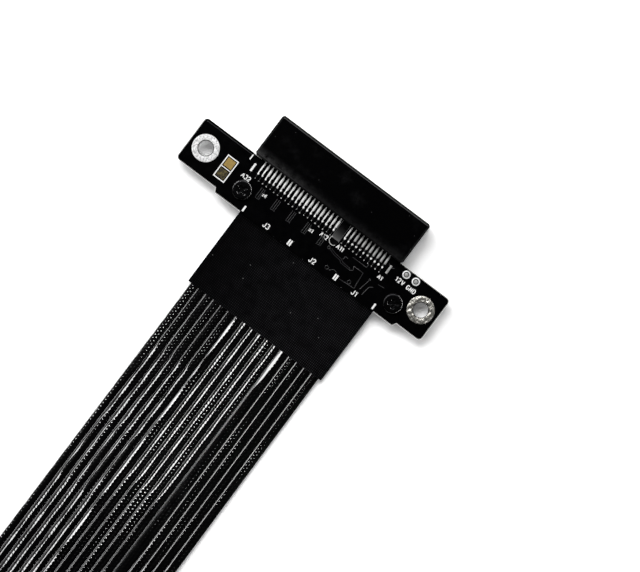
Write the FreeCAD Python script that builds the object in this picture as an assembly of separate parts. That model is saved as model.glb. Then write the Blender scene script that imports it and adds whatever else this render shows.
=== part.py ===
import FreeCAD, Part
import math
import os

from FreeCAD import Vector

# Extension cable for an x4 card slot: a straddle-mount slot on a board with two ears, three flat
# ribbons side by side, and an edge plug on the far end. All sizes are in millimetres.
#
# Frame: +X runs along the contact row towards contact 1, +Y points out of the slot's mouth and
# +Z is up. The origin lies under the middle of the slot end, on the surface that it rests on.

# Contact row, the same in the slot and on the plug
contact_pitch = 1.0
contacts_before_key = 11
contacts_after_key = 21
key_gap = 3.0

# Printed boards
board_thickness = 1.6
board_corner = 0.9
rear_lip = 0.95
lip_slope = 0.5
lip_left_margin = 4.35
lip_right_margin = 2.6
ear_hole_offset = 5.55
ear_end_margin = 3.8

# Plated holes and pads
plating = 0.1
ear_hole_radius = 1.6
ear_ring_radius = 3.05
wire_hole_radius = 0.45
wire_ring_radius = 0.95
wire_pad_setback = 1.2
wire_pad_pitch = 2.5
wire_pad_to_ear_hole = 4.43
jumper_pad_side = 2.3
jumper_pad_gap = 0.35
jumper_pad_thickness = 0.06
jumper_to_ear_hole = 6.07
jumper_setback = 0.9

# Slot housing
housing_depth = 10.2
housing_height = 7.5
housing_end = 3.0
housing_bevel = 0.4
card_thickness = 1.57
card_clearance = 0.21
card_end_margin = 1.35
slot_floor = 2.0
slot_lead_in = 0.5
key_rib_width = 1.6
cavity_width = 0.62
cavity_roof = 2.1
cavity_front_wall = 1.0
tongue_width = 1.9
tongue_length = 4.0
tongue_clearance = 0.05
tongue_end_room = 0.7

# Spring contacts; distances run from the board's front edge, heights from its middle plane
contact_width = 0.32
contact_thickness = 0.2
lead_length = 2.8
lead_heel = 0.6
contact_root = 0.75
contact_arm = 3.2
contact_tip_room = 0.3
contact_tip_length = 1.3
contact_tip_height = 1.2
contact_preload = 0.25

# Cable bar under each board, and the two screws that hold the slot board's
clamp_gap = 1.5
clamp_end = 1.9
clamp_front_wall = 1.8
clamp_bevel = 0.5
clamp_side_room = 0.35
clamp_screw_offset = 3.0
screw_setback = 3.85
screw_head_radius = 2.2
screw_head_height = 1.3
screw_radius = 1.0
screw_length = 4.0
screw_fit = 0.05
screw_board_room = 0.2
pilot_floor = 0.15
recess_width = 0.55
recess_length = 2.4
recess_depth = 0.8

# Ribbons; j1 lies next to contact 1
j1_strips = 5
j2_strips = 6
j3_strips = 6
strip_pitch = 2.0
ribbon_thickness = 1.0
ribbon_gap = 0.05
ribbon_tuck = 3.2
cable_length = 150.0
cable_offset = 3.0
tail_length = 1.8
tail_end_room = 0.6
tail_width = 0.3
tail_thickness = 0.3
tail_pitch = 1.0

# Woven tape sleeves
sleeve_length = 18.5
sleeve_wall = 0.25
sleeve_side_room = 0.45

# Edge plug
plug_margin = 4.6
tab_depth = 8.25
tab_end_margin = 1.1
notch_width = 1.9
notch_depth = 7.6
bevel_length = 1.2
bevel_height = 0.45
finger_width = 0.7
finger_length = 4.6
finger_setback = 1.6
finger_thickness = 0.05

# Cord route, chosen by hand: distance behind the slot board and clearance under the ribbons.
# The half next to the plug mirrors it.
route_exit_length = 5.0
route_points = [(20.0, 0.35), (45.0, 0.05)]
route_middle_clearance = 0.8
route_setback_share = 0.45

# Places that follow from the sizes above
middle_z = housing_height / 2
board_bottom = middle_z - board_thickness / 2
board_top = middle_z + board_thickness / 2
clamp_depth = ribbon_tuck + tail_length + tail_end_room + clamp_front_wall
board_depth = lead_length + clamp_gap + clamp_depth
ear_depth = board_depth - rear_lip
mouth_y = (housing_depth + board_depth) / 2
front_y = mouth_y - housing_depth
rear_y = front_y - board_depth
plug_rear_y = rear_y - cable_length
plug_shoulder_y = plug_rear_y - clamp_depth - plug_margin
plug_tip_y = plug_shoulder_y - tab_depth

row_length = (contacts_before_key + contacts_after_key - 2) * contact_pitch + key_gap
first_contact_x = row_length / 2
last_contact_x = -row_length / 2
key_x = first_contact_x - (contacts_before_key - 1) * contact_pitch - key_gap / 2
contact_places = [first_contact_x - i * contact_pitch for i in range(contacts_before_key)]
contact_places += [last_contact_x + i * contact_pitch for i in range(contacts_after_key)]

ribbon_strips = {"j3": j3_strips, "j2": j2_strips, "j1": j1_strips}
strip_count = sum(ribbon_strips.values())
cable_width = strip_count * strip_pitch + (len(ribbon_strips) - 1) * ribbon_gap
cable_left = cable_offset - cable_width / 2
cable_right = cable_offset + cable_width / 2
ribbon_z = board_bottom - ribbon_thickness / 2
screw_places = (cable_left - clamp_screw_offset, cable_right + clamp_screw_offset)
screw_y = rear_y + screw_setback
lip_left = screw_places[0] - lip_left_margin
lip_right = screw_places[1] + lip_right_margin
ear_hole_x = screw_places[1] + ear_hole_offset
ear_hole_y = front_y - ear_depth / 2
board_half = ear_hole_x + ear_end_margin
slot_half_gap = (card_thickness + card_clearance) / 2


def block(x_range, y_range, z_range):
    """Box between two places on each axis, given in either order."""
    ends = [sorted(pair) for pair in (x_range, y_range, z_range)]
    sides = [high - low for low, high in ends]
    return Part.makeBox(*sides, Vector(*[low for low, high in ends]))


def around(middle, width):
    """Range of a given width about a middle."""
    return (middle - width / 2, middle + width / 2)


def tangent_arc(before, corner, after, setback):
    """Arc that rounds a corner, starting and ending a setback away from it."""
    back = (before - corner).normalize()
    ahead = (after - corner).normalize()
    turn = math.pi - back.getAngle(ahead)
    radius = setback / math.tan(turn / 2)
    inward = (back + ahead).normalize()
    middle = corner + inward * (math.hypot(radius, setback) - radius)
    arc = Part.Arc(corner + back * setback, middle, corner + ahead * setback)
    return arc, radius


def board_plate(corners):
    """Flat board through (x, y) corners."""
    points = [Vector(x, y, board_bottom) for x, y in corners]
    return Part.Face(Part.makePolygon(points + points[:1])).extrude(Vector(0, 0, board_thickness))


def side_prism(points, x_range):
    """Solid with the same (y, z) outline all along a range of X."""
    corners = [Vector(min(x_range), y, z) for y, z in points]
    face = Part.Face(Part.makePolygon(corners + corners[:1]))
    return face.extrude(Vector(max(x_range) - min(x_range), 0, 0))


def upright_hole(x, y, radius, bottom, top):
    """Cylinder along Z, for cutting a round hole."""
    return Part.makeCylinder(radius, top - bottom, Vector(x, y, bottom))


def strip_outline(points, thickness):
    """Outline of bent strip whose middle line goes through (y, z) points."""
    line = [Vector(y, z, 0) for y, z in points]
    upper, lower = [], []
    for i, point in enumerate(line):
        arriving = (point - line[max(i - 1, 0)]) if i else (line[1] - line[0])
        leaving = (line[i + 1] - point) if i + 1 < len(line) else arriving
        arriving = Vector(arriving).normalize()
        leaving = Vector(leaving).normalize()
        across = Vector(-arriving.y - leaving.y, arriving.x + leaving.x, 0).normalize()
        reach = thickness / 2 / across.dot(Vector(-arriving.y, arriving.x, 0))
        upper.append(point + across * reach)
        lower.append(point - across * reach)
    return [(p.x, p.y) for p in upper + lower[::-1]]


def slot_housing():
    """Moulded slot: card slot split by the key rib, contact cavities, and the board tongue."""
    ends = (last_contact_x - housing_end, first_contact_x + housing_end)
    body = block(ends, (front_y, mouth_y), (0, housing_height))
    body = body.makeChamfer(housing_bevel, body.Edges)
    inner_y = front_y + slot_floor
    flare = slot_half_gap + slot_lead_in
    profile = [
        (inner_y, middle_z - slot_half_gap),
        (mouth_y - slot_lead_in, middle_z - slot_half_gap),
        (mouth_y, middle_z - flare),
        (mouth_y, middle_z + flare),
        (mouth_y - slot_lead_in, middle_z + slot_half_gap),
        (inner_y, middle_z + slot_half_gap),
    ]
    rib_left, rib_right = around(key_x, key_rib_width)
    cuts = [
        side_prism(profile, (last_contact_x - card_end_margin, rib_left)),
        side_prism(profile, (rib_right, first_contact_x + card_end_margin)),
    ]
    for x in contact_places:
        for side in (1, -1):
            heights = (middle_z + side * slot_half_gap, middle_z + side * cavity_roof)
            cuts.append(block(around(x, cavity_width), (front_y, mouth_y - cavity_front_wall), heights))
    tongue_reach = (front_y, front_y - tongue_length)
    tongue = block(around(key_x, tongue_width), tongue_reach, (board_bottom, board_top))
    return body.cut(Part.makeCompound(cuts)).fuse(tongue).removeSplitter()


def contact_row(side):
    """One row of spring contacts: foot on the board, arm under the cavity's roof, sprung tip."""
    foot = board_thickness / 2 + contact_thickness / 2
    arm = cavity_roof - contact_thickness / 2
    touch = card_thickness / 2 - contact_preload + contact_thickness / 2
    tip = housing_depth - cavity_front_wall - contact_tip_room
    line = [
        (-lead_length, foot),
        (-lead_heel, foot),
        (contact_root, arm),
        (contact_arm, arm),
        (tip - contact_tip_length, touch),
        (tip, contact_tip_height),
    ]
    outline = [(front_y + y, middle_z + side * h) for y, h in strip_outline(line, contact_thickness)]
    return Part.makeCompound([side_prism(outline, around(x, contact_width)) for x in contact_places])


def slot_board():
    """Board with two ears, a rear lip for the cable, and a round-ended notch for the housing's tongue."""
    ear_rear = front_y - ear_depth
    plate = board_plate([
        (-board_half, front_y),
        (-board_half, ear_rear),
        (lip_left - lip_slope, ear_rear),
        (lip_left, rear_y),
        (lip_right, rear_y),
        (lip_right + lip_slope, ear_rear),
        (board_half, ear_rear),
        (board_half, front_y),
    ])
    upright = [e for e in plate.Edges if e.BoundBox.ZLength > board_thickness / 2]
    plate = plate.makeFillet(board_corner, [e for e in upright if abs(e.BoundBox.Center.x) > ear_hole_x])
    slit_width = tongue_width + 2 * tongue_clearance
    slit_end = front_y - tongue_length - tongue_end_room
    cuts = [block(around(key_x, slit_width), (front_y, slit_end), (board_bottom, board_top))]
    holes = [(key_x, slit_end, slit_width / 2)]
    holes += [(x, ear_hole_y, ear_hole_radius + plating) for x in (-ear_hole_x, ear_hole_x)]
    holes += [(x, y, wire_hole_radius) for x, y in wire_pad_places()]
    holes += [(x, screw_y, screw_radius + screw_board_room) for x in screw_places]
    cuts += [upright_hole(x, y, radius, board_bottom, board_top) for x, y, radius in holes]
    return plate.cut(Part.makeCompound(cuts))


def wire_pad_places():
    """Places of the power and ground wire holes, from the slot outwards."""
    outer = ear_hole_x - wire_pad_to_ear_hole
    return [(outer - wire_pad_pitch, front_y - wire_pad_setback), (outer, front_y - wire_pad_setback)]


def ear_plating(x):
    """Tinned lining of a mounting hole: a barrel with a flat ring on the top of the board."""
    barrel = ear_hole_radius + plating
    outline = [
        (ear_hole_radius, board_bottom),
        (barrel, board_bottom),
        (barrel, board_top),
        (ear_ring_radius, board_top),
        (ear_ring_radius, board_top + plating),
        (ear_hole_radius, board_top + plating),
    ]
    points = [Vector(r, 0, z) for r, z in outline]
    lining = Part.Face(Part.makePolygon(points + points[:1])).revolve(Vector(), Vector(0, 0, 1), 360)
    lining.translate(Vector(x, ear_hole_y, 0))
    return lining


def wire_pad(x, y):
    """Tinned ring round a wire hole."""
    ring = upright_hole(x, y, wire_ring_radius, board_top, board_top + plating)
    return ring.cut(upright_hole(x, y, wire_hole_radius, board_top, board_top + plating))


def jumper_pads():
    """Two square pads in line beside the left ear's hole."""
    x_range = around(jumper_to_ear_hole - ear_hole_x, jumper_pad_side)
    step = (jumper_pad_side + jumper_pad_gap) / 2
    pads = []
    for y in (ear_hole_y - jumper_setback + step, ear_hole_y - jumper_setback - step):
        heights = (board_top, board_top + jumper_pad_thickness)
        pads.append(block(x_range, around(y, jumper_pad_side), heights))
    return Part.makeCompound(pads)


def cable_bar(edge_y, inward):
    """Bar under a board's rear edge, with a channel for the ribbons."""
    bar = block(
        (screw_places[0] - clamp_end, screw_places[1] + clamp_end),
        (edge_y, edge_y + inward * clamp_depth),
        (0, board_bottom),
    )
    bar = bar.makeChamfer(clamp_bevel, [e for e in bar.Edges if e.BoundBox.ZMax < clamp_bevel])
    channel = block(
        (cable_left - clamp_side_room, cable_right + clamp_side_room),
        (edge_y, edge_y + inward * (clamp_depth - clamp_front_wall)),
        (board_bottom - ribbon_thickness, board_bottom),
    )
    return bar.cut(channel)


def slot_clamp():
    """Cable bar of the slot board, with a pilot hole for each screw."""
    bottom = board_top - screw_length - pilot_floor
    pilot = screw_radius + screw_fit
    pilots = [upright_hole(x, screw_y, pilot, bottom, board_bottom) for x in screw_places]
    return cable_bar(rear_y, 1).cut(Part.makeCompound(pilots))


def clamp_screws():
    """Two pan-head screws with a cross recess, heads down on the board."""
    screws = []
    for x in screw_places:
        place = Vector(x, screw_y, board_top)
        head = Part.makeCylinder(screw_head_radius, screw_head_height, place)
        head_top = board_top + screw_head_height
        shank = Part.makeCylinder(screw_radius, screw_length, place - Vector(0, 0, screw_length))
        floor = (head_top - recess_depth, head_top)
        long_way = block(around(x, recess_length), around(place.y, recess_width), floor)
        cross_way = block(around(x, recess_width), around(place.y, recess_length), floor)
        screws.append(head.fuse(shank).cut(long_way.fuse(cross_way)).removeSplitter())
    return Part.makeCompound(screws)


def cable_route():
    """Middle line of the ribbons, straight runs joined by the largest tangent arcs."""
    lying_z = ribbon_thickness / 2
    half = [(-ribbon_tuck, ribbon_z), (route_exit_length, ribbon_z)]
    half += [(s, lying_z + clearance) for s, clearance in route_points]
    whole = half + [(cable_length / 2, lying_z + route_middle_clearance)]
    whole += [(cable_length - s, z) for s, z in reversed(half)]
    points = [Vector(0, rear_y - s, z) for s, z in whole]
    runs = [(b - a).Length for a, b in zip(points, points[1:])]
    edges = []
    start = points[0]
    for i in range(1, len(points) - 1):
        setback = route_setback_share * min(runs[i - 1], runs[i])
        arc, radius = tangent_arc(points[i - 1], points[i], points[i + 1], setback)
        print("route radius at point %d: %.1f mm" % (i, radius))
        edges.append(Part.LineSegment(start, arc.StartPoint).toShape())
        edges.append(arc.toShape())
        start = arc.EndPoint
    edges.append(Part.LineSegment(start, points[-1]).toShape())
    return Part.Wire(edges)


def carried_section(outline, route):
    """Solid made by carrying an (x, height) outline, set at the route's start, along the route."""
    start_y = rear_y + ribbon_tuck
    points = [Vector(x, start_y, ribbon_z + h) for x, h in outline]
    return route.makePipeShell([Part.makePolygon(points + points[:1])], True, False)


def flat_section(left, right, thickness):
    """Outline of a flat section, about the ribbons' middle height."""
    low, high = around(0, thickness)
    return [(left, low), (right, low), (right, high), (left, high)]


def tape_sleeve(route, edge_y, inward):
    """Woven tape round all ribbons, from a board's rear edge outwards."""
    inner_left = cable_left - sleeve_side_room
    inner_right = cable_right + sleeve_side_room
    outer_thickness = ribbon_thickness + 2 * sleeve_wall
    outer = flat_section(inner_left - sleeve_wall, inner_right + sleeve_wall, outer_thickness)
    inner = flat_section(inner_left, inner_right, ribbon_thickness)
    reach = block(
        (inner_left - sleeve_wall, inner_right + sleeve_wall),
        (edge_y, edge_y - inward * sleeve_length),
        (0, board_top),
    )
    return carried_section(outer, route).cut(carried_section(inner, route)).common(reach)


def conductor_tails(left, strips, edge_y, inward):
    """Bare pair ends of one ribbon, lying on the underside of a board."""
    start = edge_y + inward * ribbon_tuck
    y_range = (start, start + inward * tail_length)
    heights = (board_bottom - tail_thickness, board_bottom)
    tails = []
    for i in range(strips):
        middle = left + i * strip_pitch + strip_pitch / 2
        for x in around(middle, tail_pitch):
            tails.append(block(around(x, tail_width), y_range, heights))
    return Part.makeCompound(tails)


def plug_board():
    """Edge board: cable end as wide as the slot board's lip, and a keyed tab with a bevelled edge."""
    tab_left = last_contact_x - tab_end_margin
    tab_right = first_contact_x + tab_end_margin
    plate = board_plate([
        (lip_left, plug_rear_y),
        (lip_left, plug_shoulder_y),
        (tab_left, plug_shoulder_y),
        (tab_left, plug_tip_y),
        (tab_right, plug_tip_y),
        (tab_right, plug_shoulder_y),
        (lip_right, plug_shoulder_y),
        (lip_right, plug_rear_y),
    ])
    notch_end = plug_tip_y + notch_depth - notch_width / 2
    cuts = [
        block(around(key_x, notch_width), (plug_tip_y, notch_end), (board_bottom, board_top)),
        upright_hole(key_x, notch_end, notch_width / 2, board_bottom, board_top),
    ]
    for face, into in ((board_top, -1), (board_bottom, 1)):
        edge = [
            (plug_tip_y, face),
            (plug_tip_y + bevel_length, face),
            (plug_tip_y, face + into * bevel_height),
        ]
        cuts.append(side_prism(edge, (tab_left, tab_right)))
    return plate.cut(Part.makeCompound(cuts))


def plug_fingers(face, outward):
    """Gold edge fingers on one face of the plug's tab."""
    y_range = (plug_tip_y + finger_setback, plug_tip_y + finger_setback + finger_length)
    heights = (face, face + outward * finger_thickness)
    return Part.makeCompound([block(around(x, finger_width), y_range, heights) for x in contact_places])


def build():
    """All pieces by node name."""
    power, ground = wire_pad_places()
    nodes = {
        "slot_board": slot_board(),
        "slot_housing": slot_housing(),
        "contacts_row_a": contact_row(1),
        "contacts_row_b": contact_row(-1),
        "ear_plating_left": ear_plating(-ear_hole_x),
        "ear_plating_right": ear_plating(ear_hole_x),
        "wire_pad_power": wire_pad(*power),
        "wire_pad_ground": wire_pad(*ground),
        "jumper_pads": jumper_pads(),
        "slot_clamp": slot_clamp(),
        "slot_clamp_screws": clamp_screws(),
        "plug_board": plug_board(),
        "plug_cover": cable_bar(plug_rear_y, -1),
        "plug_fingers_a": plug_fingers(board_top, 1),
        "plug_fingers_b": plug_fingers(board_bottom, -1),
    }
    route = cable_route()
    ends = {"slot": (rear_y, 1), "plug": (plug_rear_y, -1)}
    for end, (edge_y, inward) in ends.items():
        nodes[end + "_sleeve"] = tape_sleeve(route, edge_y, inward)
    left = cable_left
    for name, strips in ribbon_strips.items():
        width = strips * strip_pitch
        ribbon = carried_section(flat_section(left, left + width, ribbon_thickness), route)
        expected = width * ribbon_thickness * route.Length
        print("ribbon_%s: %.1f mm3, section times length %.1f mm3" % (name, ribbon.Volume, expected))
        nodes["ribbon_" + name] = ribbon
        for end, (edge_y, inward) in ends.items():
            nodes["%s_tails_%s" % (end, name)] = conductor_tails(left, strips, edge_y, inward)
        left += width + ribbon_gap
    return nodes


os.makedirs("parts", exist_ok=True)
for node, shape in build().items():
    shape.exportStep("parts/%s.step" % node)
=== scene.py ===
"""Looks of an x4 slot extension cable: a slot on an eared board, three flat ribbons and an edge plug.

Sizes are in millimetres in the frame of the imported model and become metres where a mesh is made.
"""

import logging
import math
from dataclasses import dataclass, replace
from enum import Enum
from typing import Any, Sequence

import bpy
import numpy as np
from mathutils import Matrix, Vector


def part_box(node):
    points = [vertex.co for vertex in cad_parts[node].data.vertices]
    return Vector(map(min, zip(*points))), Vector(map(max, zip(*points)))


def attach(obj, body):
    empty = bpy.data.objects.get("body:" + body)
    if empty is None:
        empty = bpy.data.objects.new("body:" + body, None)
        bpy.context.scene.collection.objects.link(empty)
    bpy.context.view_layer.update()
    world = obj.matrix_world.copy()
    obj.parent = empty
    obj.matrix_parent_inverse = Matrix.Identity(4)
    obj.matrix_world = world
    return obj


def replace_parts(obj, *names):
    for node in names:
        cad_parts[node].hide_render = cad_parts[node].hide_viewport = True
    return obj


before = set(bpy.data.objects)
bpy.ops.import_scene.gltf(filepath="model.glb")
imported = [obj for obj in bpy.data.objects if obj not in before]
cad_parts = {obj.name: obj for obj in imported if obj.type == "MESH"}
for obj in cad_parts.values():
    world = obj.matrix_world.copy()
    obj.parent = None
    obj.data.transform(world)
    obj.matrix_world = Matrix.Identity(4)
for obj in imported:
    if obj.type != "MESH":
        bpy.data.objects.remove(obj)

LOG = logging.getLogger("extension_cable")
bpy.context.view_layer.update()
BODY = "root"
MM = 0.001
TURN = 2 * math.pi
CREASE = math.radians(38)
SIDEWAYS = np.array([1.0, 0.0, 0.0])
UPWARDS = np.array([0.0, 0.0, 1.0])
KEY_X = 5.0  # middle of the key in the contact row
BOARD_FRONT = 0.75  # Y of the line where the board meets the housing
NOISE_SPAN = (0.3, 0.7)  # most values of a noise lie between these
EAR_BORE = 1.6  # radius of the ear holes
DRIFT_START = (-22.0, -80.0)  # Y range in which a ribbon's sideways drift grows
DRIFT_END = (-100.0, -140.0)  # Y range in which it fades

Colour = tuple[float, float, float]
Triple = tuple[float, float, float]
Span = tuple[float, float]
Points = list[tuple[float, float]]
Socket = bpy.types.NodeSocket
Value = float | Socket


class Slot(Enum):
    """Material slots of the record, one named for each piece."""

    MASK = "solder_mask"
    HOUSING = "housing_black"
    TIN = "solder_tin"
    SCREW = "screw_black"
    FILM = "ribbon_film"
    TAPE = "woven_tape"


class Side(Enum):
    """Face of a board, with the direction that points away from it."""

    TOP = 1.0
    BOTTOM = -1.0


class Hand(Enum):
    """Left or right of the cable as the slot's mouth points ahead, with the sign of X there."""

    LEFT = -1.0
    RIGHT = 1.0


def smooth_step(value: np.ndarray, start: float, end: float) -> np.ndarray:
    """Cubic ease 3t^2 - 2t^3 from 0 at start to 1 at end.

    Args:
        value: Places to ease.
        start: Place where the result leaves 0.
        end: Place where the result reaches 1.

    Returns:
        The eased values.
    """
    t = np.clip((value - start) / (end - start), 0.0, 1.0)
    return t * t * (3 - 2 * t)


def slow_wave(along: np.ndarray, wavelength: float, rng: np.random.Generator) -> np.ndarray:
    """Sum of three sines with random phases, at one, 0.61 and 0.37 of a wavelength, within -1 to 1.

    Args:
        along: Distances.
        wavelength: Longest wavelength.
        rng: Source of the phases.

    Returns:
        The wave's height at each distance.
    """
    shares = np.array([0.5, 0.3, 0.2])
    lengths = wavelength * np.array([1.0, 0.61, 0.37])
    phases = rng.uniform(0, TURN, 3)
    return (shares * np.sin(TURN * along[..., None] / lengths + phases)).sum(-1)


@dataclass(frozen=True)
class NodeBox:
    """Box of one CAD node, in millimetres."""

    low: np.ndarray
    high: np.ndarray

    @classmethod
    def of(cls, node: str) -> "NodeBox":
        """Box of the named node."""
        low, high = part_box(node)
        return cls(np.array(low) / MM, np.array(high) / MM)

    @property
    def centre(self) -> np.ndarray:
        """Middle of the box."""
        return (self.low + self.high) / 2

    @property
    def size(self) -> np.ndarray:
        """Lengths of the box's sides."""
        return self.high - self.low


@dataclass
class Patch:
    """Closed part of a mesh: points, quads, and many-sided caps."""

    points: np.ndarray
    quads: np.ndarray
    caps: list[np.ndarray]

    @classmethod
    def shells(cls, points: np.ndarray, wrap_rows: bool = False) -> "Patch":
        """Closed shells from grids of rings: quads join ring to ring, and a cap closes each end.

        Args:
            points: Grids of points, shaped (shells, rings, points in a ring, 3).
            wrap_rows: Whether the last ring joins the first, as on a torus, in place of caps.

        Returns:
            All the shells, with their faces pointing outwards.
        """
        count, rings, around, _ = points.shape
        index = np.arange(rings * around).reshape(rings, around)
        grid = np.hstack([index, index[:, :1]])
        if wrap_rows:
            grid = np.vstack([grid, grid[:1]])
        corners = [grid[:-1, :-1], grid[:-1, 1:], grid[1:, 1:], grid[1:, :-1]]
        quads = np.stack(corners, axis=-1).reshape(-1, 4)
        starts = np.arange(count) * rings * around
        ends = [] if wrap_rows else [index[0, ::-1], index[-1]]
        patch = cls(
            points.reshape(-1, 3),
            (quads[None] + starts[:, None, None]).reshape(-1, 4),
            [end + start for end in ends for start in starts],
        )
        return patch.outward(points[0].reshape(-1, 3), quads)

    def outward(self, points: np.ndarray, quads: np.ndarray) -> "Patch":
        """Turns all faces round where the first shell's quads enclose a negative volume.

        Args:
            points: The first shell's points.
            quads: The first shell's quads.

        Returns:
            This patch.
        """
        local = points - points.mean(0)
        a, b, c, d = (local[quads[:, i]] for i in range(4))
        volume = np.einsum("ij,ij->", a, np.cross(b, c)) + np.einsum("ij,ij->", a, np.cross(c, d))
        if volume < 0:
            self.quads = self.quads[:, ::-1]
            self.caps = [cap[::-1] for cap in self.caps]
        return self

    @staticmethod
    def joined(patches: Sequence["Patch"]) -> "Patch":
        """One patch that holds several.

        Args:
            patches: Patches to join.

        Returns:
            The joined patch.
        """
        starts = np.cumsum([0] + [len(p.points) for p in patches[:-1]])
        return Patch(
            np.concatenate([p.points for p in patches]),
            np.concatenate([p.quads + start for p, start in zip(patches, starts)]),
            [cap + start for p, start in zip(patches, starts) for cap in p.caps],
        )

    def piece(self, name: str, finish: "Finish", slot: Slot) -> bpy.types.Object:
        """Object of this patch that rides on the part.

        Args:
            name: Name of the piece.
            finish: Its finish.
            slot: Material slot of the record; not used.

        Returns:
            The new object.
        """
        mesh = bpy.data.meshes.new(name)
        faces = self.quads.tolist() + [cap.tolist() for cap in self.caps]
        mesh.from_pydata((self.points * MM).tolist(), [], faces)
        return finished_piece(name, mesh, finish)


def placed(made: bpy.types.Object) -> bpy.types.Object:
    """Puts a new object into the scene."""
    bpy.context.scene.collection.objects.link(made)
    return made


def finished_piece(name: str, mesh: bpy.types.Mesh, finish: "Finish") -> bpy.types.Object:
    """Puts a mesh into the scene as a piece of the object, smooth apart from its creases.

    Args:
        name: Name of the piece.
        mesh: Its mesh, in metres and in place.
        finish: Its finish.

    Returns:
        The new object.
    """
    mesh.validate()
    mesh.polygons.foreach_set("use_smooth", np.ones(len(mesh.polygons), bool))
    mesh.set_sharp_from_angle(angle=CREASE)
    mesh.materials.clear()
    mesh.materials.append(finish.material())
    made = placed(bpy.data.objects.new(name, mesh))
    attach(made, BODY)
    LOG.info("%s: %d faces", name, len(mesh.polygons))
    return made


def carried(path: np.ndarray, profile: np.ndarray, closed: bool = False) -> Patch:
    """Profile carried along a level path: ring = point + mitred side * width + up * height.

    Args:
        path: Points of the path, shaped (points, 3), all at one height.
        profile: Loop of (sideways, height) places.
        closed: Whether the path's end joins its start.

    Returns:
        The closed solid.
    """
    steps = np.diff(path, axis=0, append=path[:1])[:, :2]
    steps = steps / np.linalg.norm(steps, axis=1, keepdims=True)
    leaving = np.stack([-steps[:, 1], steps[:, 0]], 1)
    arriving = np.roll(leaving, 1, axis=0)
    if not closed:
        leaving[-1] = arriving[-1]
        arriving[0] = leaving[0]
    normals = leaving + arriving
    normals /= np.linalg.norm(normals, axis=1, keepdims=True)
    turn = np.einsum("ij,ij->i", normals, leaving)
    sideways = np.pad(normals / turn[:, None], ((0, 0), (0, 1)))
    rings = path[:, None] + sideways[:, None] * profile[None, :, :1]
    rings = rings + UPWARDS * profile[None, :, 1:]
    return Patch.shells(rings[None], wrap_rows=closed)


def arch(width: float, height: float, count: int = 7) -> np.ndarray:
    """Half-ellipse standing on its flat side, as a loop of (sideways, height) places."""
    angle = np.linspace(0, math.pi, count)
    return np.stack([width / 2 * np.cos(angle), height * np.sin(angle)], 1)


def low_slab(width: float, height: float) -> np.ndarray:
    """Flat section with slightly leaning sides, as a loop of (sideways, height) places.

    Args:
        width: Width of its foot.
        height: Its height.

    Returns:
        Loop of (sideways, height) places.
    """
    lean = 0.15 * height
    half = width / 2
    return np.array([(half, 0.0), (half - lean, height), (lean - half, height), (-half, 0.0)])


def bow(x: float, y: float, across: float, up: float, start: float, end: float) -> Points:
    """Points of an ellipse's arc about (x, y), between two angles in degrees."""
    angle = np.radians(np.linspace(start, end, 11))
    return list(zip(x + across * np.cos(angle), y + up * np.sin(angle)))


@dataclass(frozen=True)
class StrokeLetter:
    """Letter of a single-stroke alphabet, one unit high."""

    width: float
    strokes: tuple[np.ndarray, ...]

    @classmethod
    def named(cls, letter: str) -> "StrokeLetter":
        """The letter's strokes, each a line through points or round arcs.

        Args:
            letter: The letter.

        Returns:
            Its width and strokes.
        """
        shapes = {
            "1": (0.34, [(0.06, 0.74), (0.3, 0.98)], [(0.3, 1.0), (0.3, 0.0)]),
            "2": (0.6, bow(0.29, 0.7, 0.27, 0.3, 165, -40) + [(0.04, 0.04)], [(0.0, 0.04), (0.6, 0.04)]),
            "3": (0.6, bow(0.27, 0.76, 0.27, 0.24, 150, -90), bow(0.27, 0.26, 0.31, 0.26, 90, -150)),
            "4": (0.62, [(0.46, 0.0), (0.46, 1.0)], [(0.44, 0.98), (0.02, 0.3)], [(0.0, 0.28), (0.62, 0.28)]),
            "A": (0.64, [(0.0, 0.0), (0.31, 1.0)], [(0.33, 1.0), (0.64, 0.0)], [(0.12, 0.32), (0.52, 0.32)]),
            "D": (
                0.6,
                [(0.05, 0.0), (0.05, 1.0)],
                [(0.05, 0.98)] + bow(0.26, 0.5, 0.32, 0.48, 90, -90) + [(0.05, 0.02)],
            ),
            "G": (
                0.64,
                bow(0.32, 0.5, 0.3, 0.48, 45, 320),
                [(0.34, 0.42), (0.6, 0.42)],
                [(0.6, 0.46), (0.6, 0.08)],
            ),
            "J": (0.5, [(0.44, 1.0)] + bow(0.22, 0.26, 0.22, 0.26, 0, -180)),
            "N": (0.6, [(0.05, 0.0), (0.05, 1.0)], [(0.07, 0.98), (0.53, 0.02)], [(0.55, 0.0), (0.55, 1.0)]),
            "V": (0.6, [(0.0, 1.0), (0.29, 0.0)], [(0.31, 0.0), (0.6, 1.0)]),
            "x": (0.5, [(0.0, 0.0), (0.5, 0.68)], [(0.0, 0.68), (0.5, 0.0)]),
        }
        width, *strokes = shapes[letter]
        return cls(width, tuple(np.array(stroke) for stroke in strokes))


def line_path(points: Sequence[tuple[float, float]], height: float) -> np.ndarray:
    """Path through (x, y) points at one height."""
    flat = np.array(points, float)
    return np.column_stack([flat, np.full(len(flat), height)])


def arc_path(
    centre: tuple[float, float], radius: float, start: float, end: float, height: float, count: int = 25
) -> np.ndarray:
    """Path round a level arc, between two angles in degrees.

    Args:
        centre: Middle of the arc.
        radius: Its radius.
        start: Angle where it starts.
        end: Angle where it ends.
        height: Height of the path.
        count: Number of points.

    Returns:
        Points shaped (points, 3).
    """
    angle = np.radians(np.linspace(start, end, count))
    x = centre[0] + radius * np.cos(angle)
    y = centre[1] + radius * np.sin(angle)
    return np.column_stack([x, y, np.full(count, height)])


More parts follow.
